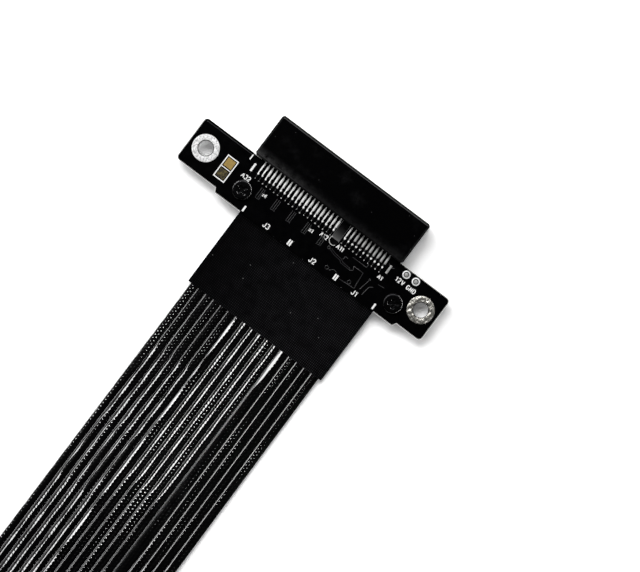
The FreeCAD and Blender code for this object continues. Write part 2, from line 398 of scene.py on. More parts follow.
def turned(radius: np.ndarray, height: np.ndarray, centre: np.ndarray, columns: int) -> np.ndarray:
    """Grid of a turned surface: x = r cos a, y = r sin a, z = height, about an upright axis.

    Args:
        radius: Radius of each ring, or of each point of each ring.
        height: Height of each ring, or of each point of each ring.
        centre: Foot of the axis.
        columns: Points round each ring.

    Returns:
        Points shaped (rings, columns, 3).
    """
    angle = np.linspace(0, TURN, columns, endpoint=False)
    radius = np.broadcast_to(radius.reshape(len(radius), -1), (len(radius), columns))
    height = np.broadcast_to(height.reshape(len(height), -1), (len(height), columns))
    return centre + np.stack([radius * np.cos(angle), radius * np.sin(angle), height], -1)


def domes(
    centres: np.ndarray, radii: np.ndarray, heights: np.ndarray, stretch: float = 1.0, columns: int = 12
) -> Patch:
    """Low domes: ring k has radius r cos(k) and height h sin(k), for k from 0 to nearly a quarter turn.

    Args:
        centres: Middle of each dome's foot, shaped (domes, 3).
        radii: Radius of each foot.
        heights: Height of each dome, negative to hang under its foot.
        stretch: Length of each dome along Y, in its widths.
        columns: Points round each ring.

    Returns:
        All the domes, closed.
    """
    rise = np.linspace(0, math.radians(80), 5)
    angle = np.linspace(0, TURN, columns, endpoint=False)
    ring = np.cos(rise)[:, None, None] * np.stack([np.cos(angle), stretch * np.sin(angle)], -1)
    level = radii[:, None, None, None] * ring[None]
    up = heights[:, None, None, None] * np.sin(rise)[None, :, None, None]
    up = np.broadcast_to(up, level.shape[:3] + (1,))
    return Patch.shells(centres[:, None, None] + np.concatenate([level, up], -1))


class Graph:
    """Node tree of one material, with short calls that add and join nodes."""

    def __init__(self, name: str) -> None:
        """Starts an empty material.

        Args:
            name: Name of the material.
        """
        self.material = bpy.data.materials.new(name)
        self.material.use_nodes = True
        self.tree = self.material.node_tree
        self.tree.nodes.clear()
        self.place = self.node("TexCoord").outputs["Object"]

    def node(self, kind: str, inputs: dict[str | int, Any] | None = None, **settings: Any) -> bpy.types.Node:
        """Adds a node.

        Args:
            kind: Blender's name of the node, without its prefix.
            inputs: Sockets to join or values to set, by the input's name or number.
            **settings: The node's own settings.

        Returns:
            The new node.
        """
        made = self.tree.nodes.new("ShaderNode" + kind)
        for name, value in settings.items():
            setattr(made, name, value)
        for key, value in (inputs or {}).items():
            if isinstance(value, Socket):
                self.tree.links.new(value, made.inputs[key])
            else:
                made.inputs[key].default_value = value
        return made

    def calc(self, operation: str, first: Value, second: Value = 0.0) -> Socket:
        """Result of a math node on one or two values."""
        return self.node("Math", {0: first, 1: second}, operation=operation).outputs[0]

    def times(self, first: Value, *others: Value) -> Socket:
        """Product of several values, from left to right.

        Args:
            first: First factor.
            *others: The other factors.

        Returns:
            The product.
        """
        for other in others:
            first = self.calc("MULTIPLY", first, other)
        return first

    def noise(self, grain: float, detail: float = 3.0, rough: float = 0.55) -> Socket:
        """Noise value between about 0 and 1, with lumps of about the given size in millimetres."""
        inputs = {"Vector": self.place, "Scale": 1 / (grain * MM), "Detail": detail, "Roughness": rough}
        return self.node("TexNoise", inputs).outputs[0]

    def streaks(self, scale: Triple, detail: float) -> Socket:
        """Noise value between about 0 and 1, with a number of lumps a metre along X, Y and Z.

        Args:
            scale: Lumps a metre along each axis.
            detail: Finer layers of noise.

        Returns:
            The noise value.
        """
        drawn = self.node("Mapping", {"Vector": self.place, "Scale": scale})
        inputs = {"Vector": drawn.outputs[0], "Scale": 1.0, "Detail": detail}
        return self.node("TexNoise", inputs).outputs[0]

    def specks(self, cell: float, radius: float) -> Socket:
        """Sparse round specks, seen from above: 1 within a radius of a point in each cell, in millimetres.

        Args:
            cell: Distance between specks.
            radius: Radius of a speck.

        Returns:
            The specks' share.
        """
        inputs = {"Vector": self.place, "Scale": 1 / (cell * MM)}
        found = self.node("TexVoronoi", inputs, voronoi_dimensions="2D").outputs["Distance"]
        return self.band(found, 0.6 * radius / cell, radius / cell, 1.0, 0.0)

    def band(self, value: Socket, start: float, end: float, low: Value = 0.0, high: Value = 1.0) -> Socket:
        """Value mapped from the range start..end to low..high, and held there outside it."""
        inputs = {0: value, 1: start, 2: end, 3: low, 4: high}
        return self.node("MapRange", inputs).outputs[0]

    def ramp(self, place: Socket, start: float, end: float, low: Value = 0.0, high: Value = 1.0) -> Socket:
        """Band along a distance, with its start and end in millimetres."""
        return self.band(place, start * MM, end * MM, low, high)

    def axes(self) -> tuple[Socket, Socket, Socket]:
        """The place's X, Y and Z, in metres."""
        split = self.node("SeparateXYZ", {0: self.place})
        return split.outputs[0], split.outputs[1], split.outputs[2]

    def ripple(self, value: Socket, pitch: float) -> Socket:
        """Sine of a distance in metres, with a pitch in millimetres."""
        return self.calc("SINE", self.times(value, TURN / (pitch * MM)))

    def steepness(self) -> Socket:
        """How far the face turns away from level: 0 on a level face and 1 on an upright one."""
        normal = self.node("SeparateXYZ", {0: self.node("NewGeometry").outputs["Normal"]})
        return self.calc("SUBTRACT", 1.0, self.calc("ABSOLUTE", normal.outputs[2]))

    def facing(self, azimuth: float) -> Socket:
        """Level part of the face's normal along a direction, given by its azimuth in degrees.

        Args:
            azimuth: Direction, anticlockwise from X.

        Returns:
            The normal's part, from -1 to 1.
        """
        turn = math.radians(azimuth)
        inputs = {0: self.node("NewGeometry").outputs["Normal"], 1: (math.cos(turn), math.sin(turn), 0.0)}
        return self.node("VectorMath", inputs, operation="DOT_PRODUCT").outputs["Value"]

    def leaning(self, start: float, end: float) -> Socket:
        """1 on faces whose steepness lies between two values and 0 on flatter and steeper ones.

        Args:
            start: Least steepness.
            end: Greatest steepness.

        Returns:
            The share, from 0 to 1.
        """
        lean = self.steepness()
        rising = self.band(lean, 0.75 * start, 1.2 * start)
        return self.times(rising, self.band(lean, 0.85 * end, 1.2 * end, 1.0, 0.0))

    def blend(self, share: Socket, first: Colour | Socket, second: Colour | Socket) -> Socket:
        """Colour that goes from the first to the second as the share goes from 0 to 1.

        Args:
            share: Share of the second.
            first: One colour.
            second: The other.

        Returns:
            The mixed colour.
        """
        ends = [c if isinstance(c, Socket) else (*c, 1.0) for c in (first, second)]
        inputs = {0: share, 6: ends[0], 7: ends[1]}
        return self.node("Mix", inputs, data_type="RGBA").outputs[2]

    def bump(
        self, height: Socket, depth: float, strength: float = 1.0, under: Socket | None = None
    ) -> Socket:
        """Normal of a relief.

        Args:
            height: Height between 0 and 1.
            depth: Relief's depth, in millimetres.
            strength: How much of the relief shows.
            under: Normal of a coarser relief below it.

        Returns:
            The normal to give to the shader.
        """
        inputs = {"Height": height, "Distance": depth * MM, "Strength": strength}
        if under is not None:
            inputs["Normal"] = under
        return self.node("Bump", inputs).outputs[0]

    def shaded(self, colour: Socket | Colour, **inputs: Any) -> bpy.types.Material:
        """Closes the material with a principled shader.

        Args:
            colour: Base colour.
            **inputs: Other inputs, with underscores for the spaces in their names.

        Returns:
            The finished material.
        """
        values = {name.replace("_", " "): value for name, value in inputs.items()}
        values["Base Color"] = colour if isinstance(colour, Socket) else (*colour, 1.0)
        shader = self.node("BsdfPrincipled", values)
        self.node("OutputMaterial", {"Surface": shader.outputs[0]})
        return self.material


@dataclass(frozen=True)
class Finish:
    """A named procedural finish; each kind says how its material is made."""

    name: str

    def material(self) -> bpy.types.Material:
        """The finish's material, made once."""
        return bpy.data.materials.get(self.name) or self.make(Graph(self.name))

    def make(self, graph: Graph) -> bpy.types.Material:
        """Builds the material's nodes.

        Args:
            graph: Empty node tree.

        Returns:
            The finished material.
        """
        raise NotImplementedError


@dataclass(frozen=True)
class SolderMask(Finish):
    """Black solder mask over glass cloth: faint cloth relief, uneven gloss, laminate on the cut sides."""

    colour: Colour = (0.0004, 0.0004, 0.0005)
    cloudy: Colour = (0.0010, 0.0010, 0.0013)
    laminate: Colour = (0.05, 0.046, 0.036)
    cloud_size: float = 3.0
    fibre_size: float = 0.25
    grain_size: float = 0.18
    polish_size: float = 1.4
    cloth_pitch: float = 0.6
    cloth_depth: float = 0.006
    grain_depth: float = 0.005
    cut_slope: Span = (0.55, 0.75)
    gloss: Span = (0.12, 0.18)
    shine: float = 0.25

    def make(self, graph: Graph) -> bpy.types.Material:
        """Mask colour clouded by noise, laminate where the face is upright.

        Args:
            graph: Empty node tree.

        Returns:
            The finished material.
        """
        x, y, _ = graph.axes()
        cloth = graph.times(graph.ripple(x, self.cloth_pitch), graph.ripple(y, self.cloth_pitch))
        clouds = graph.blend(graph.noise(self.cloud_size), self.colour, self.cloudy)
        cut = graph.band(graph.steepness(), *self.cut_slope)
        fibres = graph.blend(graph.noise(self.fibre_size), self.laminate, self.colour)
        relief = graph.bump(graph.band(cloth, -1.0, 1.0), self.cloth_depth, 0.3)
        relief = graph.bump(graph.noise(self.grain_size, 2.0), self.grain_depth, 0.4, relief)
        return graph.shaded(
            graph.blend(cut, clouds, fibres),
            Roughness=graph.band(graph.noise(self.polish_size), *NOISE_SPAN, *self.gloss),
            Specular_IOR_Level=self.shine,
            Normal=relief,
        )


@dataclass(frozen=True)
class MouldedPlastic(Finish):
    """Black moulded plastic: fine grain, scattered smudges, dust specks and slightly worn bevels."""

    colour: Colour = (0.0005, 0.0005, 0.0007)
    smudge: Colour = (0.0040, 0.0040, 0.0044)
    worn: Colour = (0.003, 0.003, 0.0032)
    dust: Colour = (0.035, 0.035, 0.035)
    dust_cell: float = 9.0
    dust_radius: float = 0.11
    smudge_size: float = 5.0
    wear_size: float = 1.2
    grain_size: float = 0.12
    bevel: Span = (0.18, 0.42)
    grain_depth: float = 0.008
    gloss: Span = (0.16, 0.24)
    shine: float = 0.09

    def make(self, graph: Graph) -> bpy.types.Material:
        """Grain and smudges from noise; bevels are the faces that lean half-way.

        Args:
            graph: Empty node tree.

        Returns:
            The finished material.
        """
        smears = graph.band(graph.noise(self.smudge_size, 6.0, 0.68), 0.52, 0.75)
        base = graph.blend(smears, self.colour, self.smudge)
        worn = graph.band(graph.noise(self.wear_size), 0.35, 0.6, 0.15, 0.8)
        scuffs = graph.times(graph.leaning(*self.bevel), worn)
        body = self.with_painted_light(graph, graph.blend(scuffs, base, self.worn))
        return graph.shaded(
            graph.blend(graph.specks(self.dust_cell, self.dust_radius), body, self.dust),
            Roughness=graph.band(smears, 0.0, 1.0, *self.gloss),
            Specular_IOR_Level=self.shine,
            Normal=graph.bump(graph.noise(self.grain_size, 2.0), self.grain_depth, 0.5),
        )

    def with_painted_light(self, graph: Graph, body: Socket) -> Socket:
        """Colour with the painted light that one moulding has; a plain moulding has none."""
        return body


@dataclass(frozen=True)
class SlotPlastic(MouldedPlastic):
    """Housing plastic with a painted sheen along its rear edge, a painted highlight line in it, and a painted
    reflection that greys the tongue.
    """

    # Painted light: a sheen near the rear edge, a thin highlight line in it, and a reflection that greys the
    # tongue.
    painted_sheen: Colour = (0.09, 0.09, 0.091)
    tongue: Colour = (0.085, 0.085, 0.085)
    sheen_start: Span = (0.2, 0.7)
    sheen_fade: Span = (0.5, 2.7)
    sheen_side: Span = (-19.0, -2.0)
    sheen_size: float = 1.3
    line_place: float = 0.4
    line_half: Span = (0.04, 0.12)
    tongue_ends: Span = (-1.2, -4.0)

    def with_painted_light(self, graph: Graph, body: Socket) -> Socket:
        """Painted sheen fades away from the rear edge, past a painted highlight line; a painted reflection
        pales the tongue towards its end.

        Args:
            graph: The material's node tree.
            body: Colour of the plain plastic.

        Returns:
            The colour with the painted sheen, highlight and reflection.
        """
        x, y, _ = graph.axes()
        ahead = graph.calc("SUBTRACT", y, BOARD_FRONT * MM)
        near = graph.ramp(ahead, *self.sheen_fade, 1.0, 0.0)
        clear = graph.ramp(ahead, *self.sheen_start, 0.25, 1.0)
        left = graph.ramp(x, *self.sheen_side, 1.0, 0.2)
        patchy = graph.band(graph.noise(self.sheen_size, 8.0, 0.8), 0.35, 0.75)
        share = graph.times(near, near, clear, graph.times(left, patchy))
        away = graph.calc("ABSOLUTE", graph.calc("SUBTRACT", ahead, self.line_place * MM))
        # Painted highlight: a thin line along the rear edge.
        line = graph.times(graph.ramp(away, *self.line_half, 0.6, 0.0), left)
        sheened = graph.blend(graph.calc("MAXIMUM", share, line), body, self.painted_sheen)
        # Painted reflection: the tongue pales towards its end.
        end = graph.ramp(ahead, *self.tongue_ends)
        return graph.blend(graph.times(end, end), sheened, self.tongue)


@dataclass(frozen=True)
class Metal(Finish):
    """Plated or soldered metal: mottled colour, uneven polish and a lumpy relief."""

    colour: Colour = (0.9, 0.9, 0.89)
    stain: Colour = (0.6, 0.6, 0.58)
    grain: float = 0.6
    roughness: Span = (0.3, 0.5)
    depth: float = 0.03
    metallic: float = 1.0

    def make(self, graph: Graph) -> bpy.types.Material:
        """Stain and polish follow one noise, the relief a finer one.

        Args:
            graph: Empty node tree.

        Returns:
            The finished material.
        """
        mottle = graph.noise(self.grain, 4.0, 0.6)
        return graph.shaded(
            self.coloured(graph, mottle),
            Metallic=self.metallic,
            Roughness=graph.band(mottle, *NOISE_SPAN, *self.roughness),
            Normal=graph.bump(graph.noise(self.grain * 0.45, 3.0), self.depth, 0.8),
        )

    def coloured(self, graph: Graph, mottle: Socket) -> Socket:
        """Colour that goes to the stain where the noise is high."""
        return graph.blend(graph.band(mottle, 0.42, 0.72), self.colour, self.stain)


@dataclass(frozen=True)
class RingTin(Metal):
    """Solder of a ring round a hole, darker along the hole's upper edge; at the ear holes this darkening is
    painted shade.
    """

    centre: Triple = (0.0, 0.0, 0.0)
    bore: float = EAR_BORE
    rim: float = 0.24
    depth_ends: Span = (0.4, 0.25)
    # Default: painted shade along the ear holes' upper edge; the wire pads pass a grey for their groove and
    # sunken solder.
    hole_darkening: Colour = (0.05, 0.05, 0.048)

    def coloured(self, graph: Graph, mottle: Socket) -> Socket:
        """Mottled colour that darkens with the nearness of the hole's edge.

        Args:
            graph: The material's node tree.
            mottle: Noise that the stain follows.

        Returns:
            The base colour.
        """
        x, y, z = graph.axes()
        squares = [
            graph.calc("POWER", graph.calc("ABSOLUTE", graph.calc("SUBTRACT", axis, middle * MM)), 2.0)
            for axis, middle in zip((x, y), self.centre)
        ]
        radius = graph.calc("SQRT", graph.calc("ADD", squares[0], squares[1]))
        near = graph.ramp(radius, self.bore + 0.55 * self.rim, self.bore + self.rim, 1.0, 0.0)
        upper = graph.ramp(z, *(self.centre[2] - depth for depth in self.depth_ends))
        dark = graph.times(near, upper)
        return graph.blend(dark, super().coloured(graph, mottle), self.hole_darkening)


@dataclass(frozen=True)
class LeadSolder(Metal):
    """Solder of the leads, greyer beyond the key than on the long side."""

    dull: Colour = (0.36, 0.36, 0.355)
    greying_x: float = -12.0
    past_key: Span = (KEY_X + 2.0, KEY_X + 3.0)

    def coloured(self, graph: Graph, mottle: Socket) -> Socket:
        """Mottled colour that greys slowly towards the key and more past it.

        Args:
            graph: The material's node tree.
            mottle: Noise that the stain follows.

        Returns:
            The base colour.
        """
        x, _, _ = graph.axes()
        slow = graph.ramp(x, self.greying_x, KEY_X, 0.0, 0.3)
        past = graph.ramp(x, *self.past_key, 0.0, 0.7)
        return graph.blend(graph.calc("ADD", slow, past), super().coloured(graph, mottle), self.dull)


@dataclass(frozen=True)
class PointedLead(LeadSolder):
    """Tinned lead with painted shade, so that its bright part comes to a point at the slot and it is dark
    past its solder beyond the key.
    """

    pitch: float = 1.0
    taper: float = 0.9
    wetted: float = 2.15
    blunt: float = 0.1
    blade: float = 0.2
    tip: float = 0.1
    neck: float = 0.1
    # Colour of the painted shade on the lead.
    dark: Colour = (0.004, 0.004, 0.004)

    def coloured(self, graph: Graph, mottle: Socket) -> Socket:
        """Painted shade where the distance from the lead's middle passes a half-width that grows from the
        tip.

        Args:
            graph: The material's node tree.
            mottle: Noise that the stain follows.

        Returns:
            The base colour.
        """
        x, y, _ = graph.axes()
        share = graph.calc("FRACT", graph.calc("DIVIDE", x, self.pitch * MM))
        aside = graph.calc("ABSOLUTE", graph.calc("SUBTRACT", share, 0.5))
        reach = graph.ramp(y, BOARD_FRONT - self.taper, BOARD_FRONT, self.blade, self.tip)
        end = BOARD_FRONT - self.wetted
        slim = graph.ramp(y, end - self.blunt, end, self.neck, self.blade)
        over = graph.calc("SUBTRACT", aside, graph.calc("MINIMUM", reach, slim))
        outside = graph.band(over, 0.0, 0.02)
        behind = graph.ramp(y, end - self.blunt, end, 1.0, 0.0)
        past = graph.ramp(x, *self.past_key)
        # Painted shade: outside the pointed half-width, and behind the solder past the key.
        bare = graph.calc("MAXIMUM", outside, graph.times(behind, past))
        return graph.blend(bare, super().coloured(graph, mottle), self.dark)


@dataclass(frozen=True)
class BlackScrew(Metal):
    """Blackened screw with a painted highlight along the turned edge of its head, brightest on the side that
    faces the lamps.
    """

    # edge is the colour of a painted highlight on the head's rim, not wear; the azimuths set the side of each
    # screw it favours.
    edge: Colour = (0.85, 0.85, 0.85)
    highlight_slope: Span = (0.08, 0.2)
    left_highlight_azimuth: float = 95.0
    right_highlight_azimuth: float = 20.0

    def coloured(self, graph: Graph, mottle: Socket) -> Socket:
        """Black with the painted highlight's colour on the faces that lean, most on the side that faces the
        lamps.

        Args:
            graph: The material's node tree.
            mottle: Noise that the stain follows.

        Returns:
            The base colour.
        """
        x, _, _ = graph.axes()
        towards = graph.ramp(x, -1.0, 1.0, graph.facing(self.left_highlight_azimuth), graph.facing(self.right_highlight_azimuth))
        side = graph.band(towards, -0.2, 0.5, 0.06, 1.0)
        # This share is the painted highlight, not wear.
        worn = graph.times(graph.leaning(*self.highlight_slope), side)
        return graph.blend(worn, super().coloured(graph, mottle), self.edge)


@dataclass(frozen=True)
class JumperGold(Finish):
    """Gold pads, bright towards the slot and browned by heat towards the cable."""

    split_y: float
    bright: Colour = (0.32, 0.215, 0.055)
    pale: Colour = (0.25, 0.16, 0.038)
    burnt: Colour = (0.018, 0.014, 0.004)
    streaked: float = 7.0
    seam: float = 0.1
    streak_size: float = 0.5
    polish_size: float = 0.3
    grain_size: float = 0.15
    grain_depth: float = 0.01
    gloss: Span = (0.42, 0.58)
    metallic: float = 0.5

    def make(self, graph: Graph) -> bpy.types.Material:
        """The pad behind the split is brown with paler streaks across it.

        Args:
            graph: Empty node tree.

        Returns:
            The finished material.
        """
        _, y, _ = graph.axes()
        rear = graph.ramp(y, self.split_y - self.seam, self.split_y + self.seam, 1.0, 0.0)
        streak = graph.band(graph.noise(self.streak_size, 4.0), 0.45, 0.7)
        clean = graph.blend(streak, self.bright, self.pale)
        dull = graph.blend(streak, self.burnt, tuple(self.streaked * c for c in self.burnt))
        return graph.shaded(
            graph.blend(rear, clean, dull),
            Metallic=self.metallic,
            Roughness=graph.band(graph.noise(self.polish_size), *NOISE_SPAN, *self.gloss),
            Normal=graph.bump(graph.noise(self.grain_size, 2.0), self.grain_depth, 0.6),
        )


@dataclass(frozen=True)
class PrintedInk(Finish):
    """White printed ink, a little thin and uneven."""

    colour: Colour = (0.95, 0.95, 0.94)
    thin: Colour = (0.5, 0.5, 0.49)
    thin_size: float = 0.3
    grain_size: float = 0.12
    grain_depth: float = 0.01
    roughness: float = 0.6

    def make(self, graph: Graph) -> bpy.types.Material:
        """Thin spots from fine noise.

        Args:
            graph: Empty node tree.

        Returns:
            The finished material.
        """
        worn = graph.band(graph.noise(self.thin_size), 0.62, 0.8)
        return graph.shaded(
            graph.blend(worn, self.colour, self.thin),
            Roughness=self.roughness,
            Normal=graph.bump(graph.noise(self.grain_size, 2.0), self.grain_depth, 0.4),
        )


@dataclass(frozen=True)
class WovenTape(Finish):
    """Black woven tape: warp threads along the cable over a closer weft, a little fuzz and lint."""

    warp_pitch: float = 0.4
    weft_pitch: float = 0.46
    shaded_x: Span = (-15.0, 4.0)
    shadow: Colour = (0.0003, 0.0003, 0.0005)
    thread: Colour = (0.047, 0.047, 0.051)
    lint: Colour = (0.22, 0.22, 0.22)
    lint_cell: float = 10.0
    lint_radius: float = 0.1
    thread_depth: float = 0.05
    wear_size: float = 2.2
    wear: Span = (0.4, 1.2)
    roughness: float = 0.7
    shine: float = 0.01

    def make(self, graph: Graph) -> bpy.types.Material:
        """Thread height = (raised sine across)^4 * raised sine along; noise wears the threads' colour, a ramp
        along X darkens the left side as painted shade, and the hollows between threads take the shadow colour
        as painted shade.

        Args:
            graph: Empty node tree.

        Returns:
            The finished material.
        """
        x, y, _ = graph.axes()
        warp = graph.band(graph.ripple(x, self.warp_pitch), -1.0, 1.0)
        weft = graph.band(graph.ripple(y, self.weft_pitch), -1.0, 1.0)
        # Painted shade: the tape darkens towards its left side.
        dark = graph.ramp(x, *self.shaded_x, 0.3, 0.95)
        patches = graph.noise(self.wear_size, 4.0, 0.65)
        # worn carries both this painted shade and the wear patches.
        worn = graph.times(dark, graph.band(patches, *NOISE_SPAN, *self.wear))
        height = graph.times(graph.calc("POWER", warp, 4.0), weft)
        threads = graph.blend(graph.times(height, worn), self.shadow, self.thread)
        return graph.shaded(
            graph.blend(graph.specks(self.lint_cell, self.lint_radius), threads, self.lint),
            Roughness=self.roughness,
            Specular_IOR_Level=self.shine,
            Normal=graph.bump(height, self.thread_depth, 0.8),
        )


@dataclass(frozen=True)
class RibbonFilm(Finish):
    """Glossy black film drawn tight over wire pairs, with rows of small dots over the wires.

    Dot height = (cosine across)^8 * (cosine along)^5, with two staggered rows to a strip.
    """

    row_middle: float
    row_offset: float
    far_offset: float
    dot_height: float
    fresh_dots: float
    worn_dots: float
    faint_dots: float
    jag: float
    left: float = 0.0
    strip_width: float = 2.0
    drift: float = 0.0
    dot_pitch: float = 0.875
    row_power: float = 8.0
    dot_power: float = 5.0
    strip_stagger: float = 0.29
    worn_y: Span = (-60.0, -32.0)
    far_y: Span = (-80.0, -35.0)
    right_row: float = 0.85
    gloss: float = 0.09
    cloud_size: float = 2.5
    scuff: float = 0.0
    coat: float = 1.0
    film_ior: float = 1.9
    coat_ior: float = 2.0
    patch_scale: Triple = (900.0, 90.0, 900.0)
    lump_scale: Triple = (900.0, 2200.0, 900.0)
    mark_scale: Triple = (4000.0, 250.0, 4000.0)
    colour: Colour = (0.0003, 0.0003, 0.0004)

    def make(self, graph: Graph) -> bpy.types.Material:
        """Dots are a relief; a second one roughens each strip's left half; draw marks vary the gloss.

        The rows follow the ribbon's shift sideways: drift * ramp in * ramp out along the ribbon.

        Args:
            graph: Empty node tree.

        Returns:
            The finished material.
        """
        x, y, _ = graph.axes()
        shift = graph.ramp(y, *DRIFT_START, 0.0, self.drift * MM)
        shift = graph.times(shift, graph.ramp(y, *DRIFT_END, 1.0, 0.0))
        inward = graph.calc("SUBTRACT", x, graph.calc("ADD", shift, self.left * MM))
        across = graph.calc("DIVIDE", graph.calc("MAXIMUM", inward, 0.0), self.strip_width * MM)
        strip = graph.calc("FLOOR", across)
        within = graph.calc("FRACT", across)
        right = graph.calc("GREATER_THAN", within, self.row_middle)
        stagger = graph.calc("ADD", graph.times(right, 0.5), graph.times(strip, self.strip_stagger))
        along = graph.calc("ADD", graph.calc("DIVIDE", y, self.dot_pitch * MM), stagger)
        aside = graph.calc("ABSOLUTE", graph.calc("SUBTRACT", within, self.row_middle))
        offset = graph.ramp(y, *self.far_y, self.far_offset, self.row_offset)
        rows = self.peak(graph, graph.calc("SUBTRACT", aside, offset), self.row_power)
        beads = self.peak(graph, graph.calc("DIVIDE", along, 2.0), self.dot_power)
        weaker = graph.band(right, 0.0, 1.0, 1.0, self.right_row)
        fresh = graph.ramp(y, *self.worn_y, self.worn_dots, self.fresh_dots)
        patchy = graph.band(graph.streaks(self.patch_scale, 1.0), 0.4, 0.6, self.faint_dots)
        dots = graph.times(rows, beads, weaker, graph.times(fresh, patchy))
        relief = graph.bump(dots, self.dot_height)
        left_half = graph.band(within, 0.3, 0.45, 1.0, 0.0)
        rough = graph.times(graph.streaks(self.lump_scale, 2.0), left_half)
        relief = graph.bump(rough, self.jag, 1.0, relief)
        drawn = graph.band(graph.streaks(self.mark_scale, 2.0), *NOISE_SPAN, self.gloss, self.gloss + 0.05)
        return graph.shaded(
            graph.blend(graph.noise(self.cloud_size), self.colour, tuple(2.0 * c for c in self.colour)),
            Roughness=graph.calc("ADD", drawn, graph.times(left_half, self.scuff)),
            IOR=self.film_ior,
            Specular_IOR_Level=1.0,
            Coat_Weight=self.coat,
            Coat_Roughness=self.gloss,
            Coat_IOR=self.coat_ior,
            Coat_Normal=relief,
            Normal=relief,
        )

    @staticmethod
    def peak(graph: Graph, turns: Socket, power: float) -> Socket:
        """Power of a cosine, with a peak at each whole and half turn."""
        wave = graph.calc("COSINE", graph.times(turns, TURN))
        return graph.calc("POWER", graph.calc("ABSOLUTE", wave), power)


MASK = SolderMask("black solder mask", shine=0.1)
# Lighter than the bare mask: partly the copper under it, partly a painted highlight on the raised tracks.
COPPER_MASK_AND_HIGHLIGHT = SolderMask("mask over copper and painted highlight", (0.011, 0.011, 0.012), (0.021, 0.021, 0.022), shine=0.32)
# Pale bead: bare laminate, made paler than the cut sides as a painted highlight along the edge.
LAMINATE_EDGE_HIGHLIGHT = PrintedInk("bare laminate edge and painted highlight", (0.62, 0.62, 0.6), (0.4, 0.4, 0.38))
HOUSING = SlotPlastic("housing plastic")
# Grey of a painted highlight along the housing's mouth edge.
MOUTH_HIGHLIGHT = MouldedPlastic("housing edge painted highlight", (0.1, 0.1, 0.101), (0.14, 0.14, 0.141))
CLAMP = MouldedPlastic("clamp plastic", (0.006, 0.006, 0.0065))
# Tinned leads with painted shade that makes their bright part look pointed.
LEAD_TIN = PointedLead(
    "tinned leads", (0.95, 0.95, 0.94), (0.8, 0.8, 0.79),
    grain=0.4, roughness=(0.34, 0.5), depth=0.01, metallic=0.2,
)
LEAD_SOLDER = LeadSolder(
    "lead solder", (0.8, 0.8, 0.79), (0.55, 0.55, 0.54),
    grain=0.22, roughness=(0.36, 0.5), depth=0.03, metallic=0.25,
)
DULL_TIN = Metal(
    "dull tin", (0.4, 0.4, 0.39), (0.16, 0.16, 0.155),
    grain=0.25, roughness=(0.4, 0.55), depth=0.03, metallic=0.3,
)
VIA_TIN = Metal(
    "via tin", (0.6, 0.6, 0.59), (0.22, 0.22, 0.215),
    grain=0.2, roughness=(0.4, 0.55), depth=0.03, metallic=0.3,
)
SOLDER = Metal(
    "bright solder", (0.97, 0.97, 0.96), (0.85, 0.85, 0.84),
    grain=0.5, roughness=(0.3, 0.42), depth=0.01, metallic=0.3,
)
FINGER_GOLD = Metal("finger gold", (0.86, 0.6, 0.22), (0.74, 0.5, 0.17), depth=0.004)
BARE_COPPER = Metal("bare wire", (0.85, 0.85, 0.83), (0.7, 0.6, 0.5))
SCREW = BlackScrew(
    "black screw", (0.014, 0.014, 0.015), (0.008, 0.008, 0.009),
    grain=0.6, roughness=(0.16, 0.24), depth=0.004,
)
INK = PrintedInk("white ink")
TAPE = WovenTape("woven tape")
FILM_J3 = RibbonFilm(
    "film j3", row_middle=0.48, row_offset=0.12, far_offset=0.22, dot_height=0.039,
    fresh_dots=0.95, worn_dots=0.95, faint_dots=0.55, jag=0.005, scuff=0.04, coat=0.58,
)
FILM_J2 = RibbonFilm(
    "film j2", row_middle=0.41, row_offset=0.18, far_offset=0.2, dot_height=0.05,
    fresh_dots=0.9, worn_dots=0.85, faint_dots=0.5, jag=0.004, right_row=0.75,
)
FILM_J1 = RibbonFilm(
    "film j1", row_middle=0.43, row_offset=0.1, far_offset=0.2, dot_height=0.05,
    fresh_dots=0.7, worn_dots=0.66, faint_dots=0.5, jag=0.0, coat=0.7,
)


def dress(node: str, finish: Finish) -> None:
    """Gives a CAD node its finish.

    Args:
        node: Name of the node.
        finish: Its finish.
    """
    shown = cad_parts[node]
    shown.data.materials.clear()
    shown.data.materials.append(finish.material())
    LOG.info("%s: dressed with %s", node, finish.name)


@dataclass
class InkMark:
    """One printed word in single-stroke letters: the middle of its place and its height."""

    text: str
    x: float
    y: float
    height: float = 1.0
    stroke: float = 0.2
    spacing: float = 0.22

    def patches(self, level: float, thickness: float) -> list[Patch]:
        """Strokes of the word in their place, reading along +X.

        Args:
            level: Height of the board's face.
            thickness: Thickness of the ink.

        Returns:
            One flat solid a stroke.
        """
        letters = [StrokeLetter.named(letter) for letter in self.text]
        widths = np.array([letter.width for letter in letters])
        starts = np.concatenate([[0.0], np.cumsum(widths[:-1] + self.spacing)])
        total = starts[-1] + widths[-1]
        made = []
        for letter, start in zip(letters, starts):
            for stroke in letter.strokes:
                flat = (stroke + (start - total / 2, -0.5)) * self.height + (self.x, self.y)
                path = np.column_stack([flat, np.full(len(flat), level)])
                made.append(carried(path, low_slab(self.stroke, thickness)))
        return made


# Tracks of the supply under the mask, each through its corners.
SUPPLY_ROUTES = (
    [(5.0, -5.8), (6.7, -6.3), (8.5, -6.5), (8.95, -6.85), (11.55, -6.95), (12.0, -6.6)],
    [(5.6, -5.6), (7.0, -5.95), (8.6, -6.1), (9.3, -6.5), (11.3, -6.6)],
    [(12.0, -6.6), (11.7, -5.75), (14.1, -5.7), (14.5, -9.5), (10.8, -9.75)],
    [(8.95, -6.0), (9.0, -5.2), (9.7, -5.15)],
    [(10.3, -4.36), (14.0, -4.35), (13.95, -3.5)],
    [(15.55, -9.0), (16.1, -6.15)],
    [(16.6, -9.6), (16.9, -7.4), (17.6, -6.9)],
    [(18.1, -5.75), (19.6, -5.6)],
    [(7.9, -9.6), (8.6, -8.9), (9.6, -9.0)],
)
# Each rim as x, y and radius.
VIA_RIMS = ((7.2, -9.4, 0.38), (12.86, -9.06, 0.4), (5.0, -5.75, 0.3), (16.1, -6.0, 0.17))


